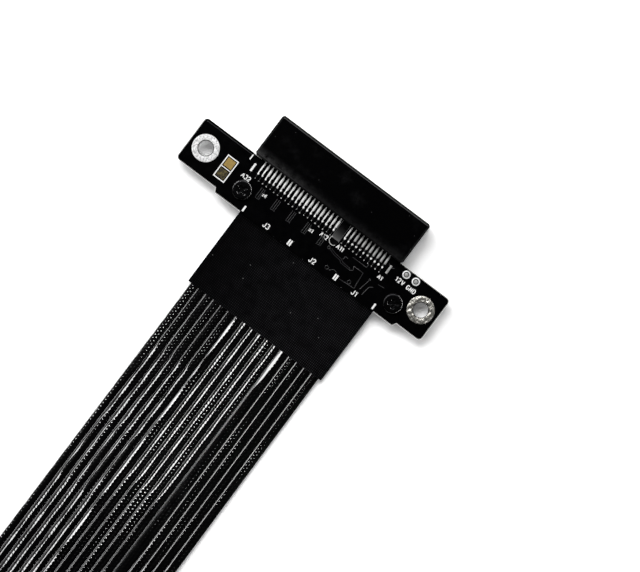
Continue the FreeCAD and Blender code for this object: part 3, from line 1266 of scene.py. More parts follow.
@dataclass
class SlotBoard:
    """Eared board of the slot end: mask, edge, raised copper, printed ink, plated holes and pads."""

    ink_thickness: float = 0.02
    edge_width: float = 0.2
    edge_drop: float = 0.07
    housing_gap: float = 0.3
    ear_points: int = 8
    pour_inset: float = 0.5
    pour_width: float = 0.16
    trace_width: float = 0.18
    trace_height: float = 0.05
    stub_first_x: float = -13.5
    stub_pitch: float = 4.08
    stub_count: int = 5
    stub_sides: Triple = (-0.46, 0.04, 0.44)
    stub_ends: Span = (-4.1, -6.5)
    stub_bar: tuple[Span, Span] = ((-0.55, -6.65), (0.6, -6.6))
    corner: float = 0.9
    rear_lip: float = 0.95
    lip_slope: float = 0.5
    slit_radius: float = 1.0
    slit_end_y: float = -3.95
    slit_arc: Span = (140.0, 320.0)
    slit_drop: float = 0.03
    bare_front: float = 1.9
    ring_margin: float = 0.05
    ring_wall: float = 0.1
    ring_lap: float = 0.02
    ring_swell: float = 0.05
    lump_length: Span = (0.5, 1.6)

    def __post_init__(self) -> None:
        """Reads the board's places from the frame."""
        self.board = NodeBox.of("slot_board")
        self.housing = NodeBox.of("slot_housing")
        self.sleeve = NodeBox.of("slot_sleeve")
        self.lip = NodeBox.of("plug_board")
        self.pads = NodeBox.of("jumper_pads")
        self.top = self.board.high[2]
        self.front = self.board.high[1]

    def build(self) -> None:
        """Builds and dresses all pieces of the board."""
        dress("slot_board", MASK)
        dress("jumper_pads", JumperGold("jumper gold", self.pads.centre[1]))
        self.edge()
        self.copper()
        self.pad_rims()
        self.ink()
        self.ear_ring(
            "ear_plating_left", seed=11, lumpiness=0.02, colour=(0.9, 0.9, 0.9), stain=(0.3, 0.3, 0.3),
            grain=0.35, roughness=(0.45, 0.55), depth=0.03, metallic=0.3,
        )
        self.ear_ring(
            "ear_plating_right", seed=12, lumpiness=0.03, colour=(0.42, 0.41, 0.38),
            stain=(0.12, 0.112, 0.09), grain=0.42, roughness=(0.22, 0.36), depth=0.045, metallic=0.85,
        )
        self.wire_pad("wire_pad_power")
        self.wire_pad("wire_pad_ground")

    def stroke(self, points: Points, profile: np.ndarray, closed: bool = False) -> Patch:
        """Profile carried through (x, y) points on the board's top."""
        return carried(line_path(points, self.top), profile, closed)

    def half_outline(self, side: Hand, inset: float) -> Points:
        """Outline of one half of the board, from the housing's end round the ear to the sleeve.

        Args:
            side: Which half.
            inset: Distance by which the outline is moved inwards.

        Returns:
            Corners as (x, y).
        """
        boxes = (self.board, self.lip, self.sleeve, self.housing)
        reach = [abs(box.high[0] if side is Hand.RIGHT else box.low[0]) for box in boxes]
        board, lip, sleeve, housing = reach
        end, lip = board - inset, lip - inset
        front, rear = self.front - inset, self.board.low[1] + inset
        ear_rear = rear + self.rear_lip
        round_off = self.corner - inset
        inner = end - round_off
        points = [(housing + self.housing_gap, front)]
        points += bow(inner, front - round_off, round_off, round_off, 90, 0)
        points += bow(inner, ear_rear + round_off, round_off, round_off, 0, -90)
        points += [(lip + self.lip_slope, ear_rear), (lip, rear), (sleeve, rear)]
        return [(side.value * x, y) for x, y in points]

    def edge(self) -> None:
        """Bare laminate along the cut edge, a bead half on the top and half on the side; its pale colour is
        the laminate and also a painted highlight along the edge.
        """
        angle = np.linspace(0, TURN, 8, endpoint=False)
        bead = self.edge_width / 2 * np.stack([np.cos(angle), np.sin(angle)], 1)
        cut = [self.half_outline(Hand.LEFT, 0.0)[self.ear_points :], self.half_outline(Hand.RIGHT, 0.0)]
        patches = [carried(line_path(outline, self.top - self.edge_drop), bead) for outline in cut]
        slit_end = (KEY_X, self.slit_end_y)
        slit = arc_path(slit_end, self.slit_radius, *self.slit_arc, self.top - self.slit_drop)
        patches.append(carried(slit, 0.8 * bead))
        left, front = self.housing.low[0], self.front - self.edge_drop
        bare = [(left - self.housing_gap, front), (left + self.bare_front, front)]
        patches.append(self.stroke(bare, 0.7 * bead))
        Patch.joined(patches).piece("slot_board_edge", LAMINATE_EDGE_HIGHLIGHT, Slot.MASK)

    def copper(self) -> None:
        """Copper under the mask: pour edge, pair stubs with a crossbar, supply outline, peg and via rims."""
        line = arch(self.trace_width, self.trace_height)
        ridge = arch(self.pour_width, self.trace_height)
        ear = self.half_outline(Hand.LEFT, self.pour_inset)[: self.ear_points]
        patches = [self.stroke(ear, ridge)]
        for number in range(self.stub_count):
            x = self.stub_first_x + number * self.stub_pitch
            for side in self.stub_sides:
                patches.append(self.stroke([(x + side, y) for y in self.stub_ends], line))
            patches.append(self.stroke([(x + side, y) for side, y in self.stub_bar], line))
        patches += [self.stroke(route, line) for route in SUPPLY_ROUTES]
        peg = arc_path((18.1, -0.55), 0.75, 190, 330, self.top)
        patches.append(carried(peg, line))
        for x, y, radius in VIA_RIMS:
            patches.append(carried(arc_path((x, y), radius, 0, 345, self.top, 24), line, closed=True))
        Patch.joined(patches).piece("slot_board_copper", COPPER_MASK_AND_HIGHLIGHT, Slot.MASK)

    def pad_halves(self) -> Points:
        """Rear and front of each jumper pad, the rear pad first."""
        side = self.pads.size[0]
        return [(self.pads.low[1], self.pads.low[1] + side), (self.pads.high[1] - side, self.pads.high[1])]

    def pad_rims(self) -> None:
        """Mask that laps over the edges of the two jumper pads."""
        lap = low_slab(0.36, self.pads.high[2] - self.top + 0.015)
        left, right = self.pads.low[0], self.pads.high[0]
        loops = [[(left, a), (right, a), (right, b), (left, b)] for a, b in self.pad_halves()]
        rims = [self.stroke(loop, lap, closed=True) for loop in loops]
        Patch.joined(rims).piece("jumper_pad_rims", MASK, Slot.MASK)

    def ink(self) -> None:
        """Printed words and bars, and the frame of the jumper pads."""
        marks = [
            InkMark("A32", -18.05, -4.4, 0.92),
            InkMark("x4", -12.6, -5.15, 0.8),
            InkMark("x1", -0.2, -5.1, 0.78),
            InkMark("A12", 2.72, -4.4, 0.9),
            InkMark("A11", 6.98, -4.4, 0.9),
            InkMark("A1", 17.5, -4.27, 0.84),
            InkMark("J3", -8.35, -10.05, 1.06),
            InkMark("J2", 3.9, -10.1, 1.06),
            InkMark("J1", 15.15, -10.2, 1.06),
            InkMark("12V", 21.35, -2.36, 0.95, spacing=0.32),
            InkMark("GND", 24.32, -2.43, 0.95),
        ]
        thickness = self.ink_thickness
        patches = [patch for mark in marks for patch in mark.patches(self.top, thickness)]
        twin, single = 0.36, 0.42
        bars = [(-19.68, -0.25, 0.28, 1.3), (-18.1, -1.82, 0.45, 1.95)]
        bars += [(x + shift, -9.95, twin, 1.3) for x in (-2.25, 9.95) for shift in (-0.25, 0.25)]
        bars += [(x, -10.0, single, 1.35) for x in (-14.36, 20.15)]
        for x, y, width, length in bars:
            ends = [(x, y - length / 2), (x, y + length / 2)]
            patches.append(self.stroke(ends, low_slab(width, thickness)))
        line, margin = 0.26, 0.165
        frame_height = self.pads.high[2] - self.top + thickness
        left, right = self.pads.low[0] - margin, self.pads.high[0] + margin
        rear, front = self.pads.low[1] - margin, self.pads.high[1] + margin
        corners = [(left, rear), (right, rear), (right, front), (left, front)]
        patches.append(self.stroke(corners, low_slab(line, frame_height), closed=True))
        middle = [(left, self.pads.centre[1]), (right, self.pads.centre[1])]
        patches.append(self.stroke(middle, low_slab(0.75 * line, frame_height)))
        Patch.joined(patches).piece("board_ink", INK, Slot.MASK)

    def ear_ring(self, node: str, seed: int, lumpiness: float, **tin: Any) -> None:
        """Tinned ring and barrel of an ear hole, lumpy as dipped solder is.

        The section is carried round the hole; heights gain a sum of waves in x and y, so that the lumps
        have no direction.

        Args:
            node: CAD node that it stands for.
            seed: Seed of its lumps.
            lumpiness: Height of the lumps.
            **tin: Colour, stain, grain, roughness, depth and metallic share of its tin.
        """
        box = NodeBox.of(node)
        outer = box.size[0] / 2 - self.ring_margin
        wall, lap = EAR_BORE + self.ring_wall, self.top - self.ring_lap
        rng = np.random.default_rng(seed)
        columns, face, waves = 144, 22, 40
        share = np.linspace(0, 1, face)
        radius = np.concatenate([np.linspace(outer, EAR_BORE, face), [EAR_BORE, wall, wall, outer]])
        swell = box.high[2] + self.ring_swell * np.sin(math.pi * share) ** 0.5
        level = np.concatenate([swell, [box.low[2], box.low[2], lap, lap]])
        angle = np.linspace(0, TURN, columns, endpoint=False)
        x, y = radius[:, None] * np.cos(angle), radius[:, None] * np.sin(angle)
        heading = rng.uniform(0, TURN, waves)
        wave = TURN / rng.uniform(*self.lump_length, waves)
        phase = rng.uniform(0, TURN, waves)
        travel = x[..., None] * np.cos(heading) + y[..., None] * np.sin(heading)
        lumps = np.sin(wave * travel + phase).sum(-1) / waves ** 0.5
        window = np.concatenate([np.sin(math.pi * share) ** 0.4, np.zeros(len(radius) - face)])
        height = level[:, None] + lumpiness * lumps * window[:, None]
        foot = np.array([box.centre[0], box.centre[1], 0.0])
        grid = turned(radius, height, foot, columns)
        finish = RingTin(node + " tin", **tin, centre=(box.centre[0], box.centre[1], box.high[2]))
        made = Patch.shells(grid[None], wrap_rows=True).piece(node + "_tin", finish, Slot.TIN)
        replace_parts(made, node)

    def wire_pad(self, node: str) -> None:
        """Wire hole: a tinned ring, a groove, and the hole filled with solder that has sunk a little.

        The section is turned about the hole's axis.

        Args:
            node: CAD node that it stands for.
        """
        box = NodeBox.of(node)
        outer = box.size[0] / 2 - 0.06
        section = np.array([
            (outer, -0.02), (outer, 0.06), (outer - 0.06, 0.1), (0.66, 0.1), (0.6, 0.05), (0.56, -0.06),
            (0.5, -0.1), (0.42, -0.06), (0.25, 0.0), (0.02, 0.02),
        ])
        bottom = np.array([(0.02, -1.6), (0.44, -1.6), (0.44, -0.14), (0.64, -0.14), (0.64, -0.02)])
        profile = np.concatenate([section, bottom])
        foot = np.array([box.centre[0], box.centre[1], self.top])
        grid = turned(profile[:, 0], profile[:, 1], foot, 48)
        tin = RingTin(
            node + " tin", (0.93, 0.93, 0.93), (0.6, 0.6, 0.6), grain=0.5, roughness=(0.45, 0.55),
            depth=0.02, metallic=0.35, centre=(box.centre[0], box.centre[1], self.top + 0.1),
            bore=0.5, rim=0.12, hole_darkening=(0.34, 0.34, 0.33),
        )
        made = Patch.shells(grid[None], wrap_rows=True).piece(node + "_tin", tin, Slot.TIN)
        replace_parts(made, node)


@dataclass
class SlotConnector:
    """Moulded slot with its two rows of contacts, each lead in its own solder."""

    row_span: float = 33.0
    short_side: int = 11
    long_side: int = 21
    blade_length: float = 2.2
    blade_half: float = 0.265
    tip_half: float = 0.1
    neck_half: float = 0.09
    blade_height: float = 0.24
    blade_lean: float = 0.35
    length_spread: float = 0.1
    width_spread: float = 0.05
    pointed: Span = (-0.2, 1.1)
    blunt: float = 0.07
    key_reach: float = 2.5
    gap_half: float = 0.03
    bead_place: float = 2.95
    bead_radius: float = 0.235
    bead_stretch: float = 1.3
    bead_shift: float = 0.1
    shifting: Span = (1.5, 3.0)
    bead_spread: float = 0.06
    bead_rise: float = 0.7
    track: Span = (0.14, 0.05)
    via_place: float = 4.2
    via_radius: float = 0.15
    short_blades: tuple[tuple[int, float], ...] = (
        (31, 0.9), (30, 1.4), (10, 0.5), (9, 0.7), (14, 1.2), (23, 1.5),
    )
    mouth_bevel: float = 0.42
    mouth_inset: float = 0.06
    mouth_line: Span = (0.13, 0.025)
    seed: int = 21

    def __post_init__(self) -> None:
        """Reads the contact row's places from the frame."""
        board = NodeBox.of("slot_board")
        row = NodeBox.of("contacts_row_a")
        self.front = board.high[1]
        self.levels = {Side.TOP: board.high[2], Side.BOTTOM: board.low[2]}
        half_width = (row.size[0] - self.row_span) / 2
        first, last = row.high[0] - half_width, row.low[0] + half_width
        short = first - np.arange(self.short_side)
        self.places = np.concatenate([short, last + np.arange(self.long_side)[::-1]])

    def build(self) -> None:
        """Dresses the housing and contacts and adds the solder."""
        dress("slot_housing", HOUSING)
        dress("contacts_row_a", LEAD_TIN)
        dress("contacts_row_b", LEAD_TIN)
        self.solder(Side.TOP, "lead_solder_top")
        self.solder(Side.BOTTOM, "lead_solder_bottom")
        self.beads()
        self.spare_pad()
        self.mouth_edge()

    def solder(self, side: Side, name: str) -> None:
        """Solder of one row: per lead a blade that is pointed at the slot, and a neck from its blunt end.

        Half-width = tip + (blade - tip) * smooth step along the lead, then a step down to the neck; the
        section is a flattened half-ellipse.

        Args:
            side: Face of the board.
            name: Name of the piece.
        """
        rng = np.random.default_rng(self.seed)
        count = len(self.places)
        length = self.blade_length + rng.normal(0, self.length_spread, (count, 1))
        for lead, shorter in self.short_blades:
            length[lead] = shorter
        wide = self.blade_half * (1 + rng.normal(0, self.width_spread, (count, 1)))
        along = np.linspace(0.02, self.bead_place, 40)[None]
        grown = self.tip_half + (wide - self.tip_half) * smooth_step(along, *self.pointed)
        cut = smooth_step(along - length, -self.blunt, self.blunt)
        neck = np.where(self.places < KEY_X + self.key_reach, self.neck_half, self.gap_half)[:, None]
        half = grown + (neck - grown) * cut
        rise = self.blade_height * np.clip(half / self.blade_half, 0.1, 1.1) ** 0.5
        angle = np.linspace(0, math.pi, 11)
        drift = self.bead_shift * smooth_step(along, *self.shifting)
        aside = drift + self.blade_lean * (half - self.neck_half)
        x = self.places[:, None, None] + aside[..., None] + half[..., None] * np.cos(angle)
        y = np.broadcast_to(self.front - along[..., None], x.shape)
        z = self.levels[side] + side.value * rise[..., None] * np.abs(np.sin(angle)) ** 0.5
        Patch.shells(np.stack([x, y, z], -1)).piece(name, LEAD_SOLDER, Slot.TIN)

    def beads(self) -> None:
        """Round solder beads behind the blades, their thin tracks, and the via caps that these end on."""
        rng = np.random.default_rng(self.seed + 1)
        count = len(self.places)
        top = np.full(count, self.levels[Side.TOP])
        x = self.places + self.bead_shift
        patches = []
        rows = (
            (self.bead_place, self.bead_radius, 0.1, self.bead_stretch),
            (self.via_place, self.via_radius, 0.35, 1.0),
        )
        for place, radius, spread, stretch in rows:
            y = self.front - place + rng.normal(0, self.bead_spread, count)
            radii = radius * (1 + rng.uniform(-spread, spread, count))
            patches.append(domes(np.column_stack([x, y, top]), radii, self.bead_rise * radii, stretch))
        patches[0].piece("lead_beads", SOLDER, Slot.TIN)
        patches[1].piece("lead_vias", VIA_TIN, Slot.TIN)
        ends = np.array([self.front - self.bead_place, self.front - self.via_place])
        section = arch(*self.track)
        track = np.stack(np.broadcast_arrays(section[None, :, 0], ends[:, None], section[None, :, 1]), -1)
        shift = np.column_stack([x, np.zeros(count), top])
        Patch.shells(shift[:, None, None] + track[None]).piece("lead_tracks", COPPER_MASK_AND_HIGHLIGHT, Slot.MASK)

    def spare_pad(self) -> None:
        """Tinned bar beside the row's first contact, which no lead uses."""
        x, y, width, length, height = 18.0, -1.83, 0.52, 2.05, 0.08
        path = line_path([(x, y - length / 2), (x, y + length / 2)], self.levels[Side.TOP])
        carried(path, arch(width, height)).piece("spare_pad", DULL_TIN, Slot.TIN)

    def mouth_edge(self) -> None:
        """Line where the top of the housing turns down to the mouth, grey as a painted highlight."""
        box = NodeBox.of("slot_housing")
        y = box.high[1] - self.mouth_bevel - self.mouth_inset
        ends = [(box.low[0] + self.mouth_bevel, y), (box.high[0] - self.mouth_bevel, y)]
        line = carried(line_path(ends, box.high[2]), arch(*self.mouth_line))
        line.piece("housing_mouth_highlight", MOUTH_HIGHLIGHT, Slot.HOUSING)


@dataclass
class ClampScrews:
    """Two pan-head screws with a cross recess, and the moulded bar that they hold."""

    columns: int = 144
    rings: int = 44
    recess_half: float = 0.26
    recess_reach: float = 1.2
    recess_depth: float = 0.45
    recess_wall: float = 0.07
    recess_slope: float = 0.3
    shank: float = 1.0
    point: Span = (0.6, 0.3)
    rim: float = 0.45
    shoulder: float = 24.0
    turns: Span = (0.45, 1.05)

    def build(self) -> None:
        """Both screws as one piece that stands for the CAD screws."""
        box = NodeBox.of("slot_clamp_screws")
        head_radius = box.size[1] / 2
        top = NodeBox.of("slot_board").high[2]
        places = (box.low[0] + head_radius, box.high[0] - head_radius)
        patches = [
            self.screw(np.array([x, box.centre[1], 0.0]), head_radius, top, box.high[2], box.low[2], turn)
            for x, turn in zip(places, self.turns)
        ]
        made = Patch.joined(patches).piece("pan_head_screws", SCREW, Slot.SCREW)
        dress("slot_clamp", CLAMP)
        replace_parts(made, "slot_clamp_screws")

    def screw(
        self, foot: np.ndarray, radius: float, seat: float, crown: float, tip: float, turn: float
    ) -> Patch:
        """One screw: a crowned head with a sunk cross, then its rim, underside and shank.

        Head height = seat + rim + rise * (1 - (r / R)^24)^(1/2), less the recess depth inside the cross.

        Args:
            foot: Axis of the screw.
            radius: Radius of the head.
            seat: Height of the board's face.
            crown: Height of the head's top.
            tip: Height of the shank's end.
            turn: Angle of the cross, in radians.

        Returns:
            The closed screw.
        """
        hub, crowding = 0.02, 0.8
        head = np.linspace(hub, 1.0, self.rings) ** crowding
        angle = np.linspace(0, TURN, self.columns, endpoint=False) + turn
        across = np.abs(radius * head[:, None] * np.cos(angle))
        along = np.abs(radius * head[:, None] * np.sin(angle))
        narrow, long = np.minimum(across, along), np.maximum(across, along)
        wall = self.recess_wall
        inside = 1 - smooth_step(narrow, self.recess_half - wall, self.recess_half + wall)
        inside = inside * (1 - smooth_step(long, self.recess_reach - self.recess_slope, self.recess_reach))
        rise = self.rim + (crown - seat - self.rim) * np.sqrt(np.clip(1 - head ** self.shoulder, 0, 1))
        height = seat + rise[:, None] - self.recess_depth * inside
        end, slope = self.point
        below = np.array([
            (radius, seat), (self.shank, seat), (self.shank, tip + slope), (end, tip), (hub, tip),
        ])
        radii = np.concatenate([radius * head, below[:, 0]])
        levels = np.concatenate([height, np.repeat(below[:, 1:], self.columns, 1)])
        return Patch.shells(turned(radii, levels, foot, self.columns)[None])


@dataclass
class CableRoute:
    """Middle line of the ribbons: one smooth spline led by given points, as (y, z) in metres."""

    points: tuple[tuple[float, float], ...] = (
        (-0.00775, 0.00245),
        (-0.01595, 0.00245),
        (-0.03095, 0.00085),
        (-0.05595, 0.00055),
        (-0.08595, 0.00130),
        (-0.11595, 0.00055),
        (-0.14095, 0.00085),
        (-0.15595, 0.00245),
        (-0.16415, 0.00245),
    )

    def line(self, x: float) -> np.ndarray:
        """Points of the spline, read from a curve with no bevel.

        Args:
            x: Place across the cable, in millimetres.

        Returns:
            Points in millimetres, shaped (points, 3).
        """
        curve = bpy.data.curves.new("route", "CURVE")
        curve.dimensions = "3D"
        curve.resolution_u = 64
        spline = curve.splines.new("NURBS")
        spline.points.add(len(self.points) - 1)
        for point, (y, z) in zip(spline.points, self.points):
            point.co = (x * MM, y, z, 1.0)
        spline.order_u = 3
        spline.use_endpoint_u = True
        carrier = bpy.data.objects.new("route", curve)
        mesh = bpy.data.meshes.new_from_object(carrier)
        found = np.zeros(len(mesh.vertices) * 3, np.float32)
        mesh.vertices.foreach_get("co", found)
        bpy.data.objects.remove(carrier)
        bpy.data.curves.remove(curve)
        bpy.data.meshes.remove(mesh)
        return found.reshape(-1, 3).astype(float) / MM

    def stations(self, x: float, step: float) -> tuple[np.ndarray, np.ndarray, np.ndarray]:
        """Places along the spline, a step apart.

        Args:
            x: Place across the cable.
            step: Distance between stations.

        Returns:
            Distances along the spline, the points there and the upward directions there.
        """
        line = self.line(x)
        far = np.concatenate([[0.0], np.cumsum(np.linalg.norm(np.diff(line, axis=0), axis=1))])
        along = np.linspace(0, far[-1], int(round(far[-1] / step)) + 1)
        points = np.stack([np.interp(along, far, line[:, k]) for k in range(3)], 1)
        ahead = np.gradient(points, axis=0)
        ahead /= np.linalg.norm(ahead, axis=1, keepdims=True)
        up = np.stack([np.zeros(len(along)), ahead[:, 2], -ahead[:, 1]], 1)
        return along, points, up


GENTLE_SLANT = 0.4
STEEP_SLANT = 1.6


@dataclass(frozen=True)
class EdgeRoll:
    """Left edge of a strip pressed flat on a slant: slope, width, and how that wanders along it."""

    slope: float
    width: float
    wander: float
    wavelength: float
    start: float
    end: float
    fade_in: float = 3.0
    fade_out: float = 5.0
    widest: float = 0.9

    @classmethod
    def shoulder(cls, top: Span, flank: Span, *reach: float) -> tuple["EdgeRoll", "EdgeRoll"]:
        """A gentle slant and a steep one outside it.

        Args:
            top: Width of the gentle slant, and how far that wanders.
            flank: Width of the steep slant, and how far that wanders.
            *reach: Wavelength, start and end of both.

        Returns:
            The two slants.
        """
        return cls(GENTLE_SLANT, *top, *reach), cls(STEEP_SLANT, *flank, *reach)

    def cap(self, x: np.ndarray, along: np.ndarray, crest: float, rng: np.random.Generator) -> np.ndarray:
        """Greatest height of the strip: crest - slope * (distance outwards past the pressed width).

        Args:
            x: Places across the strip, from -1 to 1.
            along: Distance of each station.
            crest: Height of the strip's top.
            rng: Source of the wandering.

        Returns:
            Heights shaped (stations, places).
        """
        fade = smooth_step(along, self.start - self.fade_in, self.start)
        fade = fade * (1 - smooth_step(along, self.end - self.fade_out, self.end))
        width = self.width + self.wander * slow_wave(along, self.wavelength, rng)
        width = np.clip(width, 0, self.widest) * fade
        past = np.clip(-x[None] - 1 + width[:, None], 0, None)
        return crest - self.slope * past


@dataclass
class Ribbon:
    """Flat ribbon of wire pairs side by side under one film."""

    name: str
    strips: int
    seed: int
    film: RibbonFilm
    edge: tuple[EdgeRoll, ...]
    press: tuple[EdgeRoll, ...]
    left_squareness: float
    right_squareness: float
    far_squareness: float = 2.7
    thickness: float = 1.0
    slackening: float = 42.0
    slack_length: float = 12.0
    lean: float = 0.8
    lean_wave: Span = (0.96, 46.0)
    lift_wave: Span = (0.024, 60.0)
    crowding: float = 1.3
    corner: float = 0.95
    valley: Span = (0.015, 0.25)
    step: float = 0.55
    web: float = 0.1
    clamped: float = 3.4
    freeing: float = 4.0
    drift: float = 0.0
    stretched: float = 0.6
    top_steps: int = 32
    bottom_steps: int = 4

    def build(self, route: CableRoute) -> bpy.types.Object:
        """Carries the lobed section along the route.

        Each strip is a superellipse |x|^n + |z|^n = 1 cut off at the web, squarer on its left, pressed
        flat on a slant there, and turned and lifted by slow waves along the ribbon. The ribbon shifts
        sideways by drift * ramp in * ramp out, with its left edge stretched to stay by its neighbour.

        Args:
            route: The cable's middle line.

        Returns:
            The ribbon's object.
        """
        node = "ribbon_" + self.name
        box = NodeBox.of(node)
        width = box.size[0] / self.strips
        along, points, up = route.stations(box.centre[0], self.step)
        held = smooth_step(np.minimum(along, along[-1] - along), self.clamped, self.clamped + self.freeing)
        rng = np.random.default_rng(self.seed)
        upper = [self.lobe(k, along, held, rng, width) for k in range(self.strips)]
        top = np.concatenate([part[:, :-1] for part in upper] + [upper[-1][:, -1:]], 1)
        bottom = self.underside(width)
        below = np.broadcast_to(bottom, (len(along),) + bottom.shape)
        section = np.concatenate([top, below], 1)
        shift = np.interp(points[:, 1], DRIFT_START[::-1], (self.drift, 0.0))
        shift = shift * np.interp(points[:, 1], DRIFT_END[::-1], (0.0, 1.0))
        inward = section[..., :1] + box.size[0] / 2
        sideways = section[..., :1] + shift[:, None, None] * np.clip(inward / self.stretched, 0, 1)
        rings = points[:, None] + sideways * SIDEWAYS + section[..., 1:] * up[:, None]
        finish = replace(self.film, left=box.low[0], strip_width=width, drift=self.drift)
        made = Patch.shells(rings[None]).piece(node + "_film", finish, Slot.FILM)
        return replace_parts(made, node)

    def outline(self, x: np.ndarray, right: float) -> np.ndarray:
        """Height of a strip: half thickness * (1 - |x|^n)^(1/n), less a valley between its wires.

        Args:
            x: Places across the strip, from -1 to 1.
            right: Power n of the right half.

        Returns:
            The height at each place.
        """
        n = np.where(x < 0, self.left_squareness, right)
        depth, reach = self.valley
        valley = depth * np.exp(-((x / reach) ** 2))
        return self.thickness / 2 * np.clip(1 - np.abs(x) ** n, 0, 1) ** (1 / n) - valley

    def lobe(
        self, strip: int, along: np.ndarray, held: np.ndarray, rng: np.random.Generator, width: float
    ) -> np.ndarray:
        """Upper outline of one strip at each station, as (across, height) places.

        Args:
            strip: Number of the strip, from the left.
            along: Distance of each station.
            held: 0 where the ribbon is clamped and 1 where it is free.
            rng: Source of the strip's unevenness.
            width: Width of a strip.

        Returns:
            Places shaped (stations, steps + 1, 2).
        """
        angle = np.linspace(math.pi, 0, self.top_steps + 1)
        power = 2 / np.where(np.cos(angle) < 0, self.left_squareness, self.right_squareness)
        x = np.sign(np.cos(angle)) * np.abs(np.cos(angle)) ** power
        spread = np.linspace(0, 1, self.top_steps // 2 + 1) ** self.crowding - 1
        x[: len(spread)] = np.where(spread < -self.corner, x[: len(spread)], spread)
        near, far = (self.outline(x, right) for right in (self.right_squareness, self.far_squareness))
        slack = smooth_step(along, self.slackening, self.slackening + self.slack_length)
        height = near + slack[:, None] * (far - near)
        turn, turn_length = self.lean_wave
        tilt = np.radians(rng.normal(0, self.lean) + turn * slow_wave(along, turn_length, rng))
        rise, rise_length = self.lift_wave
        lift = rise * slow_wave(along, rise_length, rng)
        free = held[:, None] * (height > self.web)
        for roll in self.press if strip else self.edge:
            height = np.minimum(height, roll.cap(x, along, self.thickness / 2, rng))
        across = width / 2 * x[None] * np.ones_like(height)
        height = height + free * (lift[:, None] - np.tan(tilt)[:, None] * across)
        centre = (strip + 0.5 - self.strips / 2) * width
        return np.stack([centre + across, np.maximum(height, self.web / 2)], -1)

    def underside(self, width: float) -> np.ndarray:
        """Lower outline of the whole ribbon from right to left, one shallow lobe a strip.

        Args:
            width: Width of a strip.

        Returns:
            Places shaped (points, 2).
        """
        angle = np.linspace(0, math.pi, self.bottom_steps + 1)
        power = 2 / self.right_squareness
        x = np.sign(np.cos(angle)) * np.abs(np.cos(angle)) ** power
        z = -np.maximum(self.thickness / 2 * np.abs(np.sin(angle)) ** power, self.web / 2)
        centres = (np.arange(self.strips)[::-1] + 0.5 - self.strips / 2) * width
        across = centres[:, None] + width / 2 * x[None]
        lobes = np.stack([across, np.broadcast_to(z, across.shape)], -1)
        return np.concatenate([lobes[:, :-1].reshape(-1, 2), lobes[-1:, -1]])


@dataclass
class TapeSleeve:
    """Woven tape wound once round the ribbons beside a board."""

    node: str
    seed: int
    wall: float = 0.25
    half_thickness: float = 0.75
    step: float = 0.05
    ragged: float = 0.03
    ragged_wave: float = 9.0
    face_shift: float = 7.0
    ribbing: float = 0.03
    puckering: float = 0.05
    pucker_wave: float = 17.0
    pucker_slant: float = 0.4
    pucker_from: float = 0.45
    lip: float = 0.06
    lip_from: float = 0.46
    lowest: float = 0.02
    top_points: int = 110
    end_points: int = 9
    rows: int = 48
    inner_rows: int = 14

    def build(self, route: CableRoute) -> bpy.types.Object:
        """Carries a flat loop along the route, out on the outer face and back on the inner one.

        The loop's top follows the strips below with a faint cosine, and slow waves pucker it.

        Args:
            route: The cable's middle line.

        Returns:
            The sleeve's object.
        """
        box = NodeBox.of(self.node)
        rng = np.random.default_rng(self.seed)
        along, points, up = route.stations(box.centre[0], self.step)
        reach = along[(points[:, 1] <= box.high[1]) & (points[:, 1] >= box.low[1])]
        start, end = reach[0], reach[-1]
        half = box.size[0] / 2
        outer = self.loop(half, self.half_thickness)
        inner = self.loop(half - self.wall, self.half_thickness - self.wall)
        share = np.concatenate([np.linspace(0, 1, self.rows), np.linspace(1, 0, self.inner_rows)])
        faces = [np.repeat(outer[None], self.rows, 0), np.repeat(inner[None], self.inner_rows, 0)]
        loops = np.concatenate(faces)
        across, height = loops[..., 0], loops[..., 1]
        face = np.sign(height)
        ragged = self.ragged * slow_wave(across + self.face_shift * face, self.ragged_wave, rng)
        ends = 4.0 * (share - 0.5)[:, None] ** 2 * np.sign(share - 0.5)[:, None]
        place = start + (end - start) * share[:, None] + ragged * ends
        pucker = self.ribbing * np.cos(math.pi * across)
        slanted = place + self.pucker_slant * across
        pucker = pucker + self.puckering * slow_wave(slanted, self.pucker_wave, rng)
        lip = self.lip * smooth_step(np.abs(share - 0.5), self.lip_from, 0.5)[:, None]
        height = height + face * lip + pucker * (np.abs(height) > self.pucker_from)
        foot = np.stack([np.interp(place, along, points[:, k]) for k in range(3)], -1)
        lift = np.stack([np.interp(place, along, up[:, k]) for k in range(3)], -1)
        grid = foot + loops[..., :1] * SIDEWAYS + height[..., None] * lift
        grid[..., 2] = np.maximum(grid[..., 2], self.lowest)
        made = Patch.shells(grid[None], wrap_rows=True).piece(self.node + "_weave", TAPE, Slot.TAPE)
        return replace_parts(made, self.node)

    def loop(self, half: float, thick: float) -> np.ndarray:
        """Flat loop with round ends, as (across, height) places from the upper left round to the right.

        Args:
            half: Half of its width.
            thick: Half of its thickness.

        Returns:
            Places shaped (points, 2).
        """
        flat = half - thick
        across = np.linspace(-flat, flat, self.top_points)
        angle = np.linspace(math.pi / 2, -math.pi / 2, self.end_points)[1:-1]
        bend = np.stack([flat + thick * np.cos(angle), thick * np.sin(angle)], 1)
        top = np.stack([across, np.full_like(across, thick)], 1)
        bottom = np.stack([across[::-1], np.full_like(across, -thick)], 1)
        return np.concatenate([top, bend, bottom, -bend])


